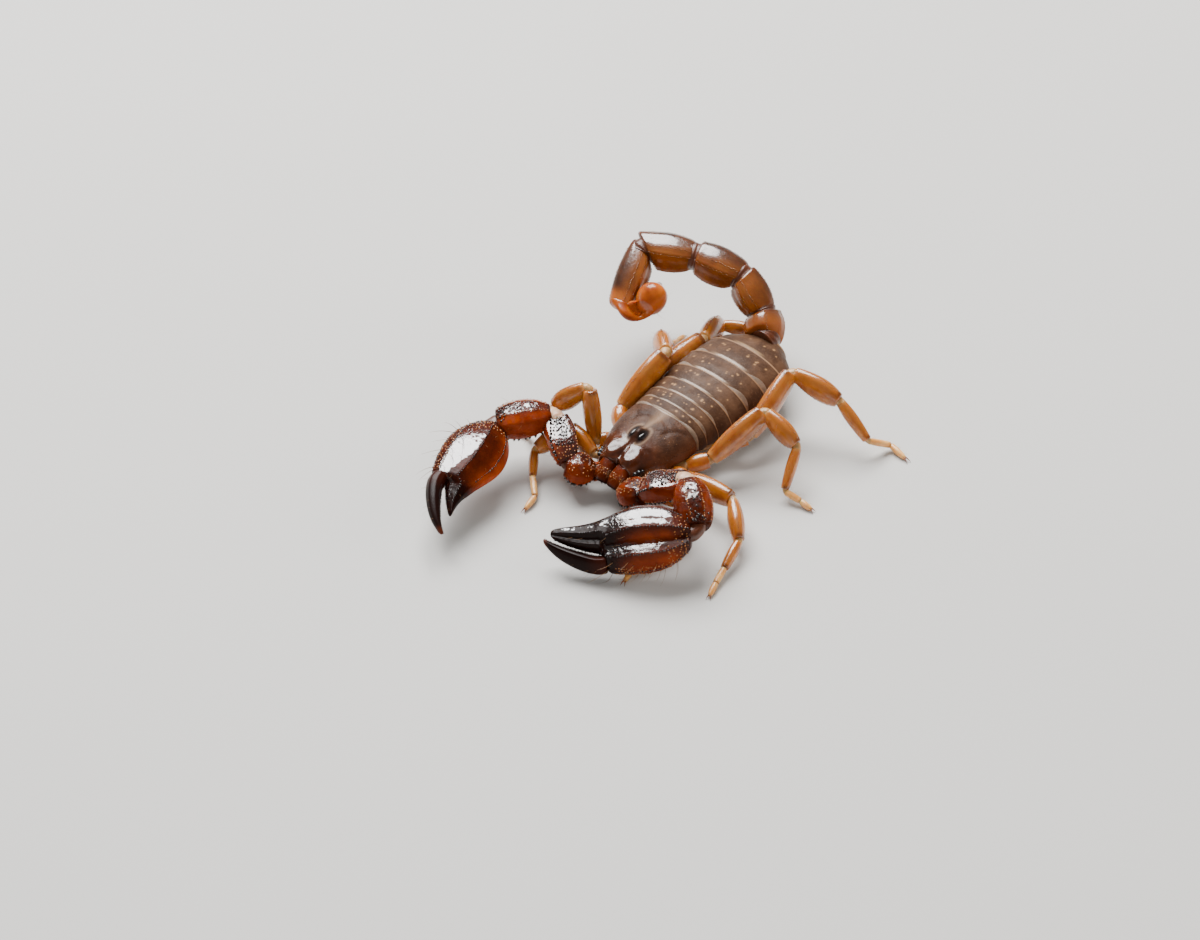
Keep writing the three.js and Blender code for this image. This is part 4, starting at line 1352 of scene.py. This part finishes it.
FLAT_TOPPED = [(0.93, 0.78), (0.3, 0.9), (-0.35, 0.9), (-0.93, 0.78), (-1.04, 0.0), (-0.85, -0.8),
               (0.0, -0.98), (0.85, -0.8), (1.04, 0.0)]
KNEE_SECTION = [(0.97, 0.6), (0.45, 0.97), (-0.4, 0.97), (-0.97, 0.6), (-1.03, -0.1), (-0.7, -0.88),
                (0.1, -1.0), (0.75, -0.85), (1.05, -0.1)]
BALL_SECTION = [(1.0, 0.35), (0.55, 0.88), (-0.55, 0.88), (-1.0, 0.35), (-0.95, -0.4), (-0.3, -0.98),
                (0.3, -0.98), (0.95, -0.4)]
PALM_UNDER = [(-1.0, -0.02), (-0.82, -0.6), (-0.25, -0.98), (0.42, -0.92), (0.88, -0.5)]
PALM_SECTION = {
    "left": [(1.02, -0.06), (0.95, 0.25), (0.78, 0.62), (0.51, 0.92), (0.44, 0.99), (0.36, 0.92),
             (0.14, 0.71), (0.05, 0.69), (-0.04, 0.74), (-0.29, 0.97), (-0.37, 1.05), (-0.46, 0.95),
             (-0.9, 0.36), *PALM_UNDER],
    "right": [(1.02, -0.06), (0.96, 0.14), (0.77, 0.43), (0.02, 0.93), (-0.08, 0.96), (-0.2, 0.93),
              (-0.48, 0.8), (-0.78, 0.54), (-0.95, 0.2), *PALM_UNDER],
}
PALM_KEELS = {
    "left": ((0.44, 0.99), (-0.37, 1.05), (0.95, 0.25), (-0.9, 0.36)),
    "right": ((0.77, 0.43), (-0.08, 0.96), (-0.78, 0.54), (1.02, -0.06)),
}
FINGER_SECTION = {
    "left": [(1.0, 0.0), (0.8, 0.42), (0.12, 0.82), (-0.55, 1.0), (-0.85, 0.66), (-1.0, 0.0), (-0.8, -0.7),
             (-0.2, -1.0), (0.6, -0.75)],
    "right": [(1.0, 0.0), (0.72, 0.7), (0.0, 1.0), (-0.6, 0.75), (-1.0, 0.0), (-0.6, -0.75), (0.0, -1.0),
              (0.72, -0.7)],
}


def arm_link(part, section, span, size, flat=1.0):
    """A piece of an arm, as high as its width times flat."""
    return draw_out(part, facets(section), stretch(span, size, lambda t: flat * size(t), 13, 0.7))


def lay_arm(side, mirrored):
    draw = random.Random(41 if mirrored else 43)
    links = [(length, heading(*way), radius)
             for length, way, radius in zip(ARM_LENGTHS, ARM_POSE[side], ARM_END_RADII)]
    placed = dict(zip(ARM_PARTS, chain(SHOULDER, links)))
    start, axis, span = placed["trochanter"]
    ball = start - axis * 0.3, axis, span + 0.65

    def lay(piece, link, grains=((), ()), teeth=(), clear=0.0, polish=0.0):
        lay_link(side, mirrored, piece, link, grains, teeth, clear, polish, draw)

    link = placed["coxa"]
    lay(arm_link("coxa", FLAT_TOPPED, link[2], lambda t: 1.3 * coxa_size(t), 1 / 1.3), link,
        clear=0.6, polish=0.2)

    # The beads in these lists carry painted glints of light.
    glint_spots = patch(20, 160, 0.1, 0.92, 7, 6, draw)
    teeth = row(200, 0.12, 0.9, 8, draw, 2) + row(335, 0.12, 0.9, 8, draw, 2)
    teeth += row(268, 0.2, 0.85, 6, draw, 2)
    lay(arm_link("trochanter", BALL_SECTION, ball[2], trochanter_size, 0.95), ball, ((), glint_spots), teeth,
        0.36, 0.36)

    link = placed["femur"]
    top = FEMUR_TOP[side]
    stations = stretch(link[2], femur_size, lambda t: (top(t) + femur_low(t)) / 2, 13, 0.7,
                       lambda t: (0, (top(t) - femur_low(t)) / 2))
    glint_spots = row(42, 0.06, 0.96, 17, draw, 1) + patch(46, 134, 0.06, 0.3, 6, 3, draw)
    glint_spots += row(205, 0.1, 0.92, 12, draw, 5) + row(335, 0.1, 0.92, 12, draw, 5)
    dark = patch(50, 130, 0.3, 0.96, 7, 9, draw)
    teeth = row(138, 0.06, 0.96, 13, draw, 1) + row(218.7, 0.1, 0.92, 11, draw, 1)
    lay(draw_out("femur", facets(FLAT_TOPPED), stations), link, (dark, glint_spots), teeth, 0.0, 1.0)

    link = placed["patella"]
    glint_spots = row(64, 0.06, 0.96, 19, draw, 1) + row(113.5, 0.06, 0.96, 19, draw, 1)
    glint_spots += row(30.4, 0.08, 0.94, 15, draw, 1)
    dark = patch(66, 112, 0.3, 0.95, 2, 5, draw) + patch(45, 135, 0.8, 0.98, 6, 2, draw)
    teeth = row(230, 0.15, 0.85, 8, draw, 2)
    lay(arm_link("patella", KNEE_SECTION, link[2], patella_size, 0.95), link, (dark, glint_spots), teeth,
        {"left": 0.3, "right": 0.85}[side], 0.46)

    for near, far, size, skin in zip(ARM_PARTS, ARM_PARTS[1:], (0.36, 0.44, 0.56, 0.6),
                                     (DARK_SKIN, DARK_SKIN, HINGE_SKIN, DARK_SKIN)):
        near_start, near_axis, near_span = placed[near]
        far_start, far_axis, _ = placed[far]
        back = near_start + near_axis * (near_span - 0.35)
        tube = hinge(f"arm_{side}_{far}_hinge", back, far_start + far_axis * 0.35, near_axis, far_axis, size,
                     size, skin, 0.85)
        set_down(tube, mirrored=mirrored)
        hand_in(tube, "claw_arm")

    lay_claw(side, mirrored, placed["claw"], draw)


# Sizes of the dark beads, of the beads painted with glints, and of the teeth.
DARK_BEAD, GLINT_BEAD, ARM_TOOTH = 0.078, 0.052, 0.1


def lay_link(side, mirrored, piece, link, grains, teeth, clear, polish, draw):
    """Finishes one piece of an arm. grains gives the places of its dark beads, then of the beads painted
    with glints.
    """
    start, axis, span = link
    part = piece.name
    piece.name = f"{side}_{part}"
    paint(chart(smooth(piece, 2), span), CLAW, CLAW_GRAIN, GLINT_PAINTED_GRAIN)
    tops, sides = noted(piece, "top"), noted(piece, "side")
    # Painted glow: faces turned down and away are made orange as if lit through the shell; the fixed amount
    # per piece is its own orange.
    front = np.clip((0.6 - 0.7 * (sides + tops)) / 1.3, 0, 1) * (0.6 + 0.4 * mirrored)
    note(piece, "black", np.zeros(len(tops)))
    note(piece, "clear", np.maximum(front, clear * np.clip((0.95 - tops) / 0.15, 0, 1)))
    note(piece, "polish", np.full(len(tops), polish))
    place = aimed(start, axis)
    plant(f"arm_{side}", piece, place, mirrored, patch(0, 360, 0.1, 0.9, 4, 3, draw), (0.35, 0.8), span,
          ARM_PARTS.index(part), draw)
    for number, (spots, size) in enumerate(zip(grains, (DARK_BEAD, GLINT_BEAD))):
        if spots:
            piece = stud(piece, spots, size, BEAD, 1 + number, length=span, draw=draw)
    if teeth:
        piece = stud(piece, teeth, ARM_TOOTH, TOOTH, 1, length=span, draw=draw)
    set_down(piece, place, mirrored)
    hand_in(piece, "claw_arm", f"arm_{side}_{part}")


def claw_stations(span, start, end, inner, outer, depth, places, blunt):
    stations = []
    length = span * (end - start)
    for t in places:
        size = blunt.get(t, 1.0)
        half = (outer(t) + inner(t)) / 2
        stations.append((t * length, size * half, size * depth(t), (outer(t) - inner(t)) / 2, 0))
    return stations


def lay_claw(side, mirrored, link, draw):
    """The palm with its fixed finger, and the finger that moves against it."""
    start, axis, span = link
    region = f"arm_{side}"
    face = axis.cross(heading(*CLAW_EDGE[side]))
    place = aimed(start, axis, face)
    length = 0.96 * span
    places = (0, 0.012, 0.03, 0.06, 0.1, 0.15, 0.21, 0.28, 0.35, 0.42, 0.48, 0.53, 0.57, 0.6, 0.625, 0.645,
              0.67, 0.7, 0.75, 0.8, 0.86, 0.91, 0.95, 0.985, 1)
    palm_inner = PALM_INNER[side]

    def outer_edge(t):
        return palm_outer(t, side)

    stations = claw_stations(span, 0, 0.96, palm_inner, outer_edge, palm_depth, places, {0: 0.75, 1: 0.4})
    palm = draw_out("palm", facets(PALM_SECTION[side], 3, 0.02), stations)
    root = HINGE_SHARE * span + 0.3
    shorter = 1 - FIXED_FINGER_SHARE[side]
    reshape(palm, lambda x, y, z: (0, 0, -shorter * max(z - root, 0)))
    smooth(palm, 2)

    def middle(t):
        return (outer_edge(t) - palm_inner(t)) / 2, 0

    chart(palm, length, middle)
    first, full = {"left": (0.32, 0.57), "right": (0.5, 0.7)}[side]
    black = [ramp(vertex.co.z / length, first, full) for vertex in palm.data.vertices]
    note(palm, "black", black)
    clear, polish = [], []
    for vertex in palm.data.vertices:
        t = vertex.co.z / length
        share = (vertex.co.x - middle(t)[0]) / max((outer_edge(t) + palm_inner(t)) / 2, 0.2)
        if side == "left":
            value = max(0.75 * bell(share - 0.8, 0.32), 0.6 * bell(share + 0.06, 0.16))
        else:
            value = bell(share + 0.98, 0.36)
        # Painted glow: the lower half of the palm is made orange as light shining through the shell; the
        # bands set above are the palm's own orange.
        value = max(value, 0.6 * ramp(vertex.co.y, 0.1, -0.5))
        clear.append(value * held((t - 0.05) / 0.1))
        polish.append(palm_polish(share, t, side))
    note(palm, "clear", clear)
    note(palm, "polish", polish)
    paint(palm, CLAW, CLAW_GRAIN, GLINT_PAINTED_GRAIN)
    palm.name = f"{side}_palm"
    plant(region, palm, place, mirrored, patch(-40, 40, 0.1, 0.6, 4, 6, draw), (0.8, 1.8), length, 4, draw,
          0.3, middle)
    plant(region, palm, place, mirrored, patch(50, 320, 0.1, 0.95, 6, 6, draw), (0.3, 0.8), length, 4, draw,
          0.4, middle)

    def keel(x, y):
        return lambda t: math.degrees(math.atan2(y * palm_depth(t), x * (outer_edge(t) + palm_inner(t)) / 2))

    beads = []
    for (x, y), end, count in zip(PALM_KEELS[side], (0.62, 0.78, 0.56, 0.6), (36, 42, 30, 34)):
        beads += row(keel(x, y), 0.02, end, count, draw, 1)
    palm = stud(palm, beads, 0.06, BEAD, 1, middle, length, draw)
    # The scattered beads near the wrist carry painted glints of light.
    scatter = patch(-10, 22, 0.03, 0.55, 4, 24, draw) + patch(25, 62, 0.02, 0.16, 5, 4, draw)
    scatter += patch(62, 165, 0.015, 0.12, 8, 3, draw)
    palm = stud(palm, scatter, 0.055, BEAD, 2, middle, length, draw)
    cutting = row(0, 0.64, 0.97, 40, draw, 3)
    palm = stud(palm, cutting, 0.04, TOOTH, 1, middle, length, draw)
    set_down(palm, place, mirrored)
    hand_in(palm, "claw_arm", f"arm_{side}_hand")

    share = 1.01 - HINGE_SHARE
    places = (0, 0.03, 0.07, 0.13, 0.2, 0.28, 0.36, 0.44, 0.52, 0.6, 0.68, 0.76, 0.84, 0.9, 0.95, 0.985, 1)

    def inner_edge(t):
        return finger_inner(t) - FINGER_HOLLOW[side] * math.sin(math.pi * min(t, 1)) ** 0.7

    stations = claw_stations(span, HINGE_SHARE, 1.01, inner_edge, finger_outer, finger_depth, places,
                             {0: 0.8, 1: 0.35})
    finger = smooth(draw_out("finger", facets(FINGER_SECTION[side], 4), stations), 2)

    def finger_middle(t):
        return (finger_outer(t) - inner_edge(t)) / 2, 0

    chart(finger, share * span, finger_middle)
    paint(finger, FINGER, CLAW_GRAIN)
    finger.name = f"{side}_finger"
    to_hinge = Matrix.Translation((HINGE_OFFSET, 0, 0))
    opened = Matrix.Rotation(math.radians(FINGER_OPENING[side]), 4, "Y")
    swing = to_hinge @ opened @ to_hinge.inverted()
    finger_place = place @ Matrix.Translation((0, 0, HINGE_SHARE * span)) @ swing
    hairs = patch(-60, 60, 0.1, 0.95, 3, 5, draw)
    plant(region, finger, finger_place, mirrored, hairs, (0.3, 0.7), share * span, 5, draw,
          0.4, finger_middle)
    cutting = row(180, 0.14, 0.97, 40, draw, 3)
    finger = stud(finger, cutting, 0.04, TOOTH, 1, finger_middle, share * span, draw)
    set_down(finger, finger_place, mirrored)
    hand_in(finger, "finger", f"arm_{side}_finger")


# ------------------------------------------------------------------ legs

# Each pair's hip, then the lengths of its six pieces, front pair first.
LEG_PAIRS = [
    ((1.8, -3.4, 1.4), (0.8, 2.6, 2.75, 1.75, 1.6, 1.15)),
    ((2.35, -2.1, 1.42), (1.3, 3.7, 2.9, 2.2, 1.2, 1.0)),
    ((2.75, -1.1, 1.5), (1.5, 4.6, 3.05, 2.9, 1.2, 0.9)),
    ((3.05, 2.2, 1.5), (1.6, 5.0, 3.6, 3.05, 1.8, 1.4)),
]
# The heading and lift of the three upper pieces, then the headings of the three that drop to the floor.
LEG_POSE = {
    "left": [
        ((-55, 5), (0, 8), (-58, -20), -95, -113, -75),
        ((0, 12), (0, 6), (-42, -20), -75, -76, -72),
        ((50, 12), (72, 30), (-1, -27), -72, 15, 0),
        ((45, 12), (93, 29), (13, -18), 0, 62, -9),
    ],
    "right": [
        ((-55, 5), (10, 14), (-75, -13), 233, 223, -99),
        ((-60, 10), (35, 65), (-38, -41), -43, 8, -12),
        ((50, 12), (96, 31), (42, -24), 70, 75, 80),
        ((40, 0), (96.5, 9), (70, -22), 150, 205, 220),
    ],
}
SHIN_END_HEIGHTS = {"left": [0.55, 0.6, 0.75, 1.2], "right": [0.6, 1.25, 0.8, 0.75]}
INSTEP_HEIGHT, TOE_HEIGHT = 0.34, 0.15

# Each leg piece is modelled once at these sizes: length, half width and half height along it.
LEG_MODELS = {
    "trochanter": (1.3, profile(0.34, 0.48, 0.42), profile(0.4, 0.56, 0.48)),
    "femur": (4.0, profile(0.36, 0.52, 0.56, 0.54, 0.44), profile(0.46, 0.68, 0.76, 0.74, 0.58)),
    "patella": (3.0, profile(0.32, 0.46, 0.52, 0.49, 0.34), profile(0.38, 0.6, 0.74, 0.72, 0.44)),
    "tibia": (2.4, profile(0.26, 0.33, 0.31, 0.24), profile(0.28, 0.4, 0.37, 0.27)),
    "basitarsus": (1.3, profile(0.2, 0.22, 0.2), profile(0.21, 0.235, 0.21)),
    "telotarsus": (1.0, profile(0.19, 0.21, 0.19, 0.11), profile(0.19, 0.225, 0.21, 0.13)),
}
LEG_SECTION = [(0.98, 0.25), (0.52, 0.86), (0.0, 1.0), (-0.52, 0.86), (-0.98, 0.25), (-0.9, -0.5),
               (-0.4, -0.95), (0.4, -0.95), (0.9, -0.5)]


def leg_models():
    draw = random.Random(61)
    models = {}
    for part, (length, width, height) in LEG_MODELS.items():
        section = facets(LEG_SECTION, 3, 0.06) if "tarsus" not in part else outline(20, 2.1)
        model = draw_out(part, section, stretch(length, width, height, 9, 0.72))
        smooth(model, 1 if "tarsus" in part else 2)
        chart(model, length)
        paint(model, FOOT if "tarsus" in part else LEG, LEG_GRAIN)
        if part in ("femur", "patella"):
            beads = row(90, 0.06, 0.94, int(9 * length), draw, 2)
            for degrees in (232, 308):
                beads += row(degrees, 0.1, 0.9, int(8 * length), draw, 2)
            model = stud(model, beads, 0.03, BEAD, 1, length=length, draw=draw)
        models[part] = model
    return models


def toe_claws():
    """Two curved claws at the end of a foot, with its toe at the start of +Z."""
    claws = []
    for sign in (-1, 1):
        stations = []
        for i in range(7):
            t = i / 6
            size = 0.055 * (1 - 0.88 * t)
            stations.append((0.34 * t, size, size, sign * (0.05 + 0.1 * t), 0.05 - 0.16 * t * t))
        claws.append(draw_out("toe_claw", outline(8), stations))
    claw = smooth(join(claws), 1)
    chart(claw, 0.34)
    return paint(claw, TOE_CLAW)


def stand(piece):
    """Presses what would sink into the floor flat on it."""
    for vertex in piece.data.vertices:
        vertex.co.z = max(vertex.co.z, 0.0)
    return piece


def lay_leg(side, mirrored, index, models):
    hip, lengths = LEG_PAIRS[index]
    pose = LEG_POSE[side][index]
    girth = (0.98 + 0.06 * index) * (1.14 if mirrored and index > 1 else 1.0)
    draw = random.Random(70 + index + 10 * mirrored)
    axes = [heading(*way) for way in pose[:3]]
    knee = Vector(hip)
    for axis, length in zip(axes, lengths):
        knee += axis * length
    shin_end = SHIN_END_HEIGHTS[side][index]
    axes.append(dropping(pose[3], lengths[3], knee.z, shin_end))
    axes.append(dropping(pose[4], lengths[4], shin_end, INSTEP_HEIGHT))
    axes.append(dropping(pose[5], lengths[5], INSTEP_HEIGHT, TOE_HEIGHT))
    radii = (0.16 * girth, 0.14 * girth, 0.14 * girth, 0.1, 0.08, 0)
    placed = chain(Vector(hip), list(zip(lengths, axes, radii)))
    laid = {}
    for number, (part, (start, axis, span)) in enumerate(zip(LEG_MODELS, placed)):
        piece = copy_of(models[part], f"{side}_leg_{index + 1}_{part}")
        size = girth if "tarsus" not in part else 1.0
        model_length = LEG_MODELS[part][0]
        scale = Matrix.Diagonal((size, size, span / model_length, 1))
        place = aimed(start, axis) @ scale
        spots = patch(0, 360, 0.08, 0.92, 5, 5 if "tarsus" not in part else 3, draw)
        cell = (index * 6 + number) % 36
        plant(f"legs_{side}", piece, place, mirrored, spots, (0.2, 0.5), model_length, cell, draw)
        if part == "telotarsus":
            claws = move(copy_of(TOE_CLAWS, "claws"), Matrix.Translation((0, 0, 0.96 * model_length)))
            piece = join([piece, claws])
        set_down(piece, place, mirrored)
        laid[part] = stand(piece)
    for near, far in zip(range(5), range(1, 6)):
        near_start, near_axis, near_span = placed[near]
        far_start, far_axis, _ = placed[far]
        size = (0.28, 0.27, 0.25, 0.16, 0.13)[near] * girth
        back = near_start + near_axis * (near_span - 0.15)
        ahead = far_start + far_axis * 0.15
        name = f"{side}_leg_{index + 1}_hinge_{near + 1}"
        skin = hinge(name, back, ahead, near_axis, far_axis, size, size, LEG_SKIN)
        set_down(skin, mirrored=mirrored)
        hand_in(stand(skin), "leg")
    for part, piece in laid.items():
        nodes = [f"leg_{side}_{index + 1}_{part}"] if part in ("femur", "patella", "tibia") else []
        hand_in(piece, "leg", *nodes)


# ------------------------------------------------------------------ underside and jaws


def lay_underside():
    """The first pieces of the legs meeting along the belly, the breast plate and the combs."""
    coxae = []
    roots = [(0.35, -3.9), (0.4, -3.0), (0.45, -2.0), (0.55, -1.0)]
    for mirrored in (False, True):
        for number, ((x, y), (hip, _)) in enumerate(zip(roots, LEG_PAIRS)):
            start = Vector((x, y, 1.38))
            end = Vector(hip) if number < 3 else Vector((2.3, 1.5, 1.5))
            span = (end - start).length + (0.15 if number < 3 else 0.4)
            wide = (0.42, 0.5, 0.55, 0.6)[number]
            stations = stretch(span, lambda t: wide * (0.75 + 0.25 * t), lambda t: 0.34 + 0.08 * t, 9, 0.8)
            piece = smooth(draw_out(f"hip_{number}", facets(LEG_SECTION, 3, 0.06), stations), 1)
            chart(piece, span)
            paint(piece, BELLY)
            set_down(piece, aimed(start, end - start), mirrored)
            coxae.append(piece)
    hips = join(coxae)
    hips.name = "hips"
    hand_in(hips, "belly_plate", "hip_plate")

    corners = [(0.32, -0.55), (0.42, 0.35), (0, 0.6), (-0.42, 0.35), (-0.32, -0.55)]
    stations = [(0, 0.8, 0.8, 0, 0), (0.06, 1, 1, 0, 0), (0.3, 1, 1, 0, 0), (0.36, 0.9, 0.9, 0, 0)]
    breast = smooth(draw_out("breast_plate", facets(corners, 3, 0.05), stations), 1)
    chart(breast, 0.36)
    paint(breast, BELLY)
    set_down(breast, Matrix.Translation((0, 0.1, 1.05)))
    hand_in(breast, "belly_plate")

    for side, mirrored in (("left", False), ("right", True)):
        lay_comb(side, mirrored)


def lay_comb(side, mirrored):
    """A comb: a bar with seven teeth."""
    bar = draw_out("bar", outline(16, 2.5), stretch(2.1, lambda t: 0.17, lambda t: 0.2, 9, 0.6))
    parts = [smooth(bar, 1)]
    for i in range(7):
        tooth = draw_out("comb_tooth", outline(12), stretch(0.42, profile(0.1, 0.13, 0.12, 0.06),
                                                            profile(0.12, 0.16, 0.14, 0.07), 5, 0.6))
        parts.append(move(smooth(tooth, 1), aimed(Vector((-0.1, 0, 0.2 + 0.28 * i)), Vector((-1, 0, 0.12)))))
    comb = join(parts)
    comb.name = f"{side}_comb"
    chart(comb, 2.1)
    paint(comb, BELLY)
    way = heading(22)
    place = aimed(Vector((0.3, 2.35, 0.8)), way, UP)
    set_down(comb, place, mirrored)
    hand_in(comb, "belly_plate", f"comb_{side}")


def lay_jaw(side, mirrored):
    """A jaw: a stout hand with two short hooked fingers."""
    draw = random.Random(91)
    hand = draw_out("jaw_hand", outline(24, 2.6), stretch(1.5, profile(0.46, 0.56, 0.57, 0.44),
                                                          profile(0.42, 0.54, 0.56, 0.36), 9, 0.7))
    smooth(hand, 2)
    parts = [hand]
    for sign, reach in ((1, 0.42), (-1, 0.36)):
        stations = []
        for i in range(8):
            t = i / 7
            size = 0.15 * (1 - 0.8 * t)
            aside = sign * (0.19 + 0.03 * t - 0.13 * t * t)
            stations.append((1.2 + reach * t, size, 1.2 * size, aside, -0.12 - 0.5 * t * t))
        finger = smooth(draw_out("jaw_finger", outline(14), stations), 1)
        parts.append(finger)
    jaw = join(parts)
    jaw.name = f"{side}_jaw"
    chart(jaw, 1.55)
    note(jaw, "black", [held((vertex.co.z - 1.25) / 0.2) for vertex in jaw.data.vertices])
    note(jaw, "clear", np.full(len(jaw.data.vertices), 0.2))
    note(jaw, "polish", np.full(len(jaw.data.vertices), 0.33))
    paint(jaw, CLAW, CLAW_GRAIN, GLINT_PAINTED_GRAIN)
    # These beads carry painted glints of light.
    jaw = stud(jaw, patch(40, 140, 0.3, 0.6, 5, 3, draw), 0.045, BEAD, 2, length=1.55, draw=draw)
    place = aimed(Vector((0.58, -4.5, 2.36)), Vector((-0.04, -1, -0.95)))
    hairs = patch(30, 150, 0.3, 0.62, 4, 4, draw)
    plant("body", jaw, place, mirrored, hairs, (0.3, 0.6), 1.55, 3 + mirrored, draw)
    set_down(jaw, place, mirrored)
    hand_in(jaw, "jaw", f"jaw_{side}")


def lay_mouth():
    """The soft parts under the front edge of the carapace, behind the jaws."""
    stations = stretch(1.5, profile(1.25, 1.5, 1.55, 1.45), profile(0.42, 0.52, 0.55, 0.5), 9, 0.8)
    piece = smooth(draw_out("mouth", outline(32, 2.6), stations), 1)
    chart(piece, 1.5)
    paint(piece, MOUTH_SKIN)
    set_down(piece, aimed(Vector((0, -4.85, 1.62)), BACKWARD))
    hand_in(piece, "jaw")


# ------------------------------------------------------------------ the whole animal

BEAD, TOOTH, TOE_CLAWS = bead_model(), tooth_model(), toe_claws()

lay_shield()
for which, flipped in (("left", False), ("right", True)):
    lay_eyes(which, flipped)
    lay_jaw(which, flipped)
    lay_arm(which, flipped)
lay_mouth()
lay_back_plates()
lay_side_skin()
lay_belly_plates()
lay_underside()
lay_tail()
lay_telson()
leg_parts = leg_models()
for which, flipped in (("left", False), ("right", True)):
    for pair in range(4):
        lay_leg(which, flipped, pair, leg_parts)
put_away(BEAD, TOOTH, TOE_CLAWS, *leg_parts.values())
lay_bristles()


# ------------------------------------------------------------------ floor, lights and camera


def point_at(thing, place, target):
    way = (place - target).normalized()
    side = UP.cross(way).normalized()
    turn = Matrix((side, way.cross(side), way)).transposed().to_4x4()
    thing.matrix_world = Matrix.Translation(place) @ turn


def soft_box(name, way, distance, size, power, tint=(1, 1, 1)):
    lamp = bpy.data.lights.new(name, "AREA")
    lamp.shape = "RECTANGLE"
    lamp.size, lamp.size_y = size
    lamp.energy = power
    lamp.color = tint
    thing = bpy.data.objects.new(name, lamp)
    bpy.context.scene.collection.objects.link(thing)
    centre = MIDLINE + Vector((0, 0.002, 0.003))
    point_at(thing, centre + Vector(way).normalized() * distance, centre)
    return thing


deselect()
bpy.ops.mesh.primitive_circle_add(vertices=96, radius=0.7, fill_type="NGON",
                                  location=MIDLINE - Vector((0, 0, 0.00002)))
floor = bpy.context.object
floor.name = "floor"
bpy.ops.object.transform_apply(location=True, rotation=True, scale=True)
paint(floor, FLOOR)

soft_box("key", (-0.5, 0.28, 0.82), distance=0.3, size=(0.24, 0.2), power=3.3)
fill = soft_box("front fill", (0.5, -0.75, 0.7), distance=0.4, size=(0.3, 0.3), power=0.66)
fill.visible_glossy = False
rim = soft_box("rim", (0.65, 0.6, 0.35), distance=0.35, size=(0.12, 0.2), power=0.7,
               tint=(1, 0.96, 0.9))
rim.visible_glossy = False

world = bpy.data.worlds.new("pale room")
world.use_nodes = True
background = world.node_tree.nodes["Background"]
background.inputs["Color"].default_value = (0.84, 0.82, 0.8, 1)
background.inputs["Strength"].default_value = 0.21
bpy.context.scene.world = world

camera_data = bpy.data.cameras.new("camera")
camera_data.lens = 134.4
camera_data.sensor_width = 36
camera_data.sensor_fit = "HORIZONTAL"
camera_data.clip_start = 0.001
camera_data.clip_end = 10
camera = bpy.data.objects.new("camera", camera_data)
bpy.context.scene.collection.objects.link(camera)
axes = Matrix(((0.7547, 0.6561, 0.0), (-0.4390, 0.5050, 0.7431), (0.4875, -0.5609, 0.6691))).transposed()
camera.matrix_world = Matrix.Translation(MIDLINE + MM * Vector((135.05, -161.55, 188.34))) @ axes.to_4x4()
bpy.context.scene.camera = camera
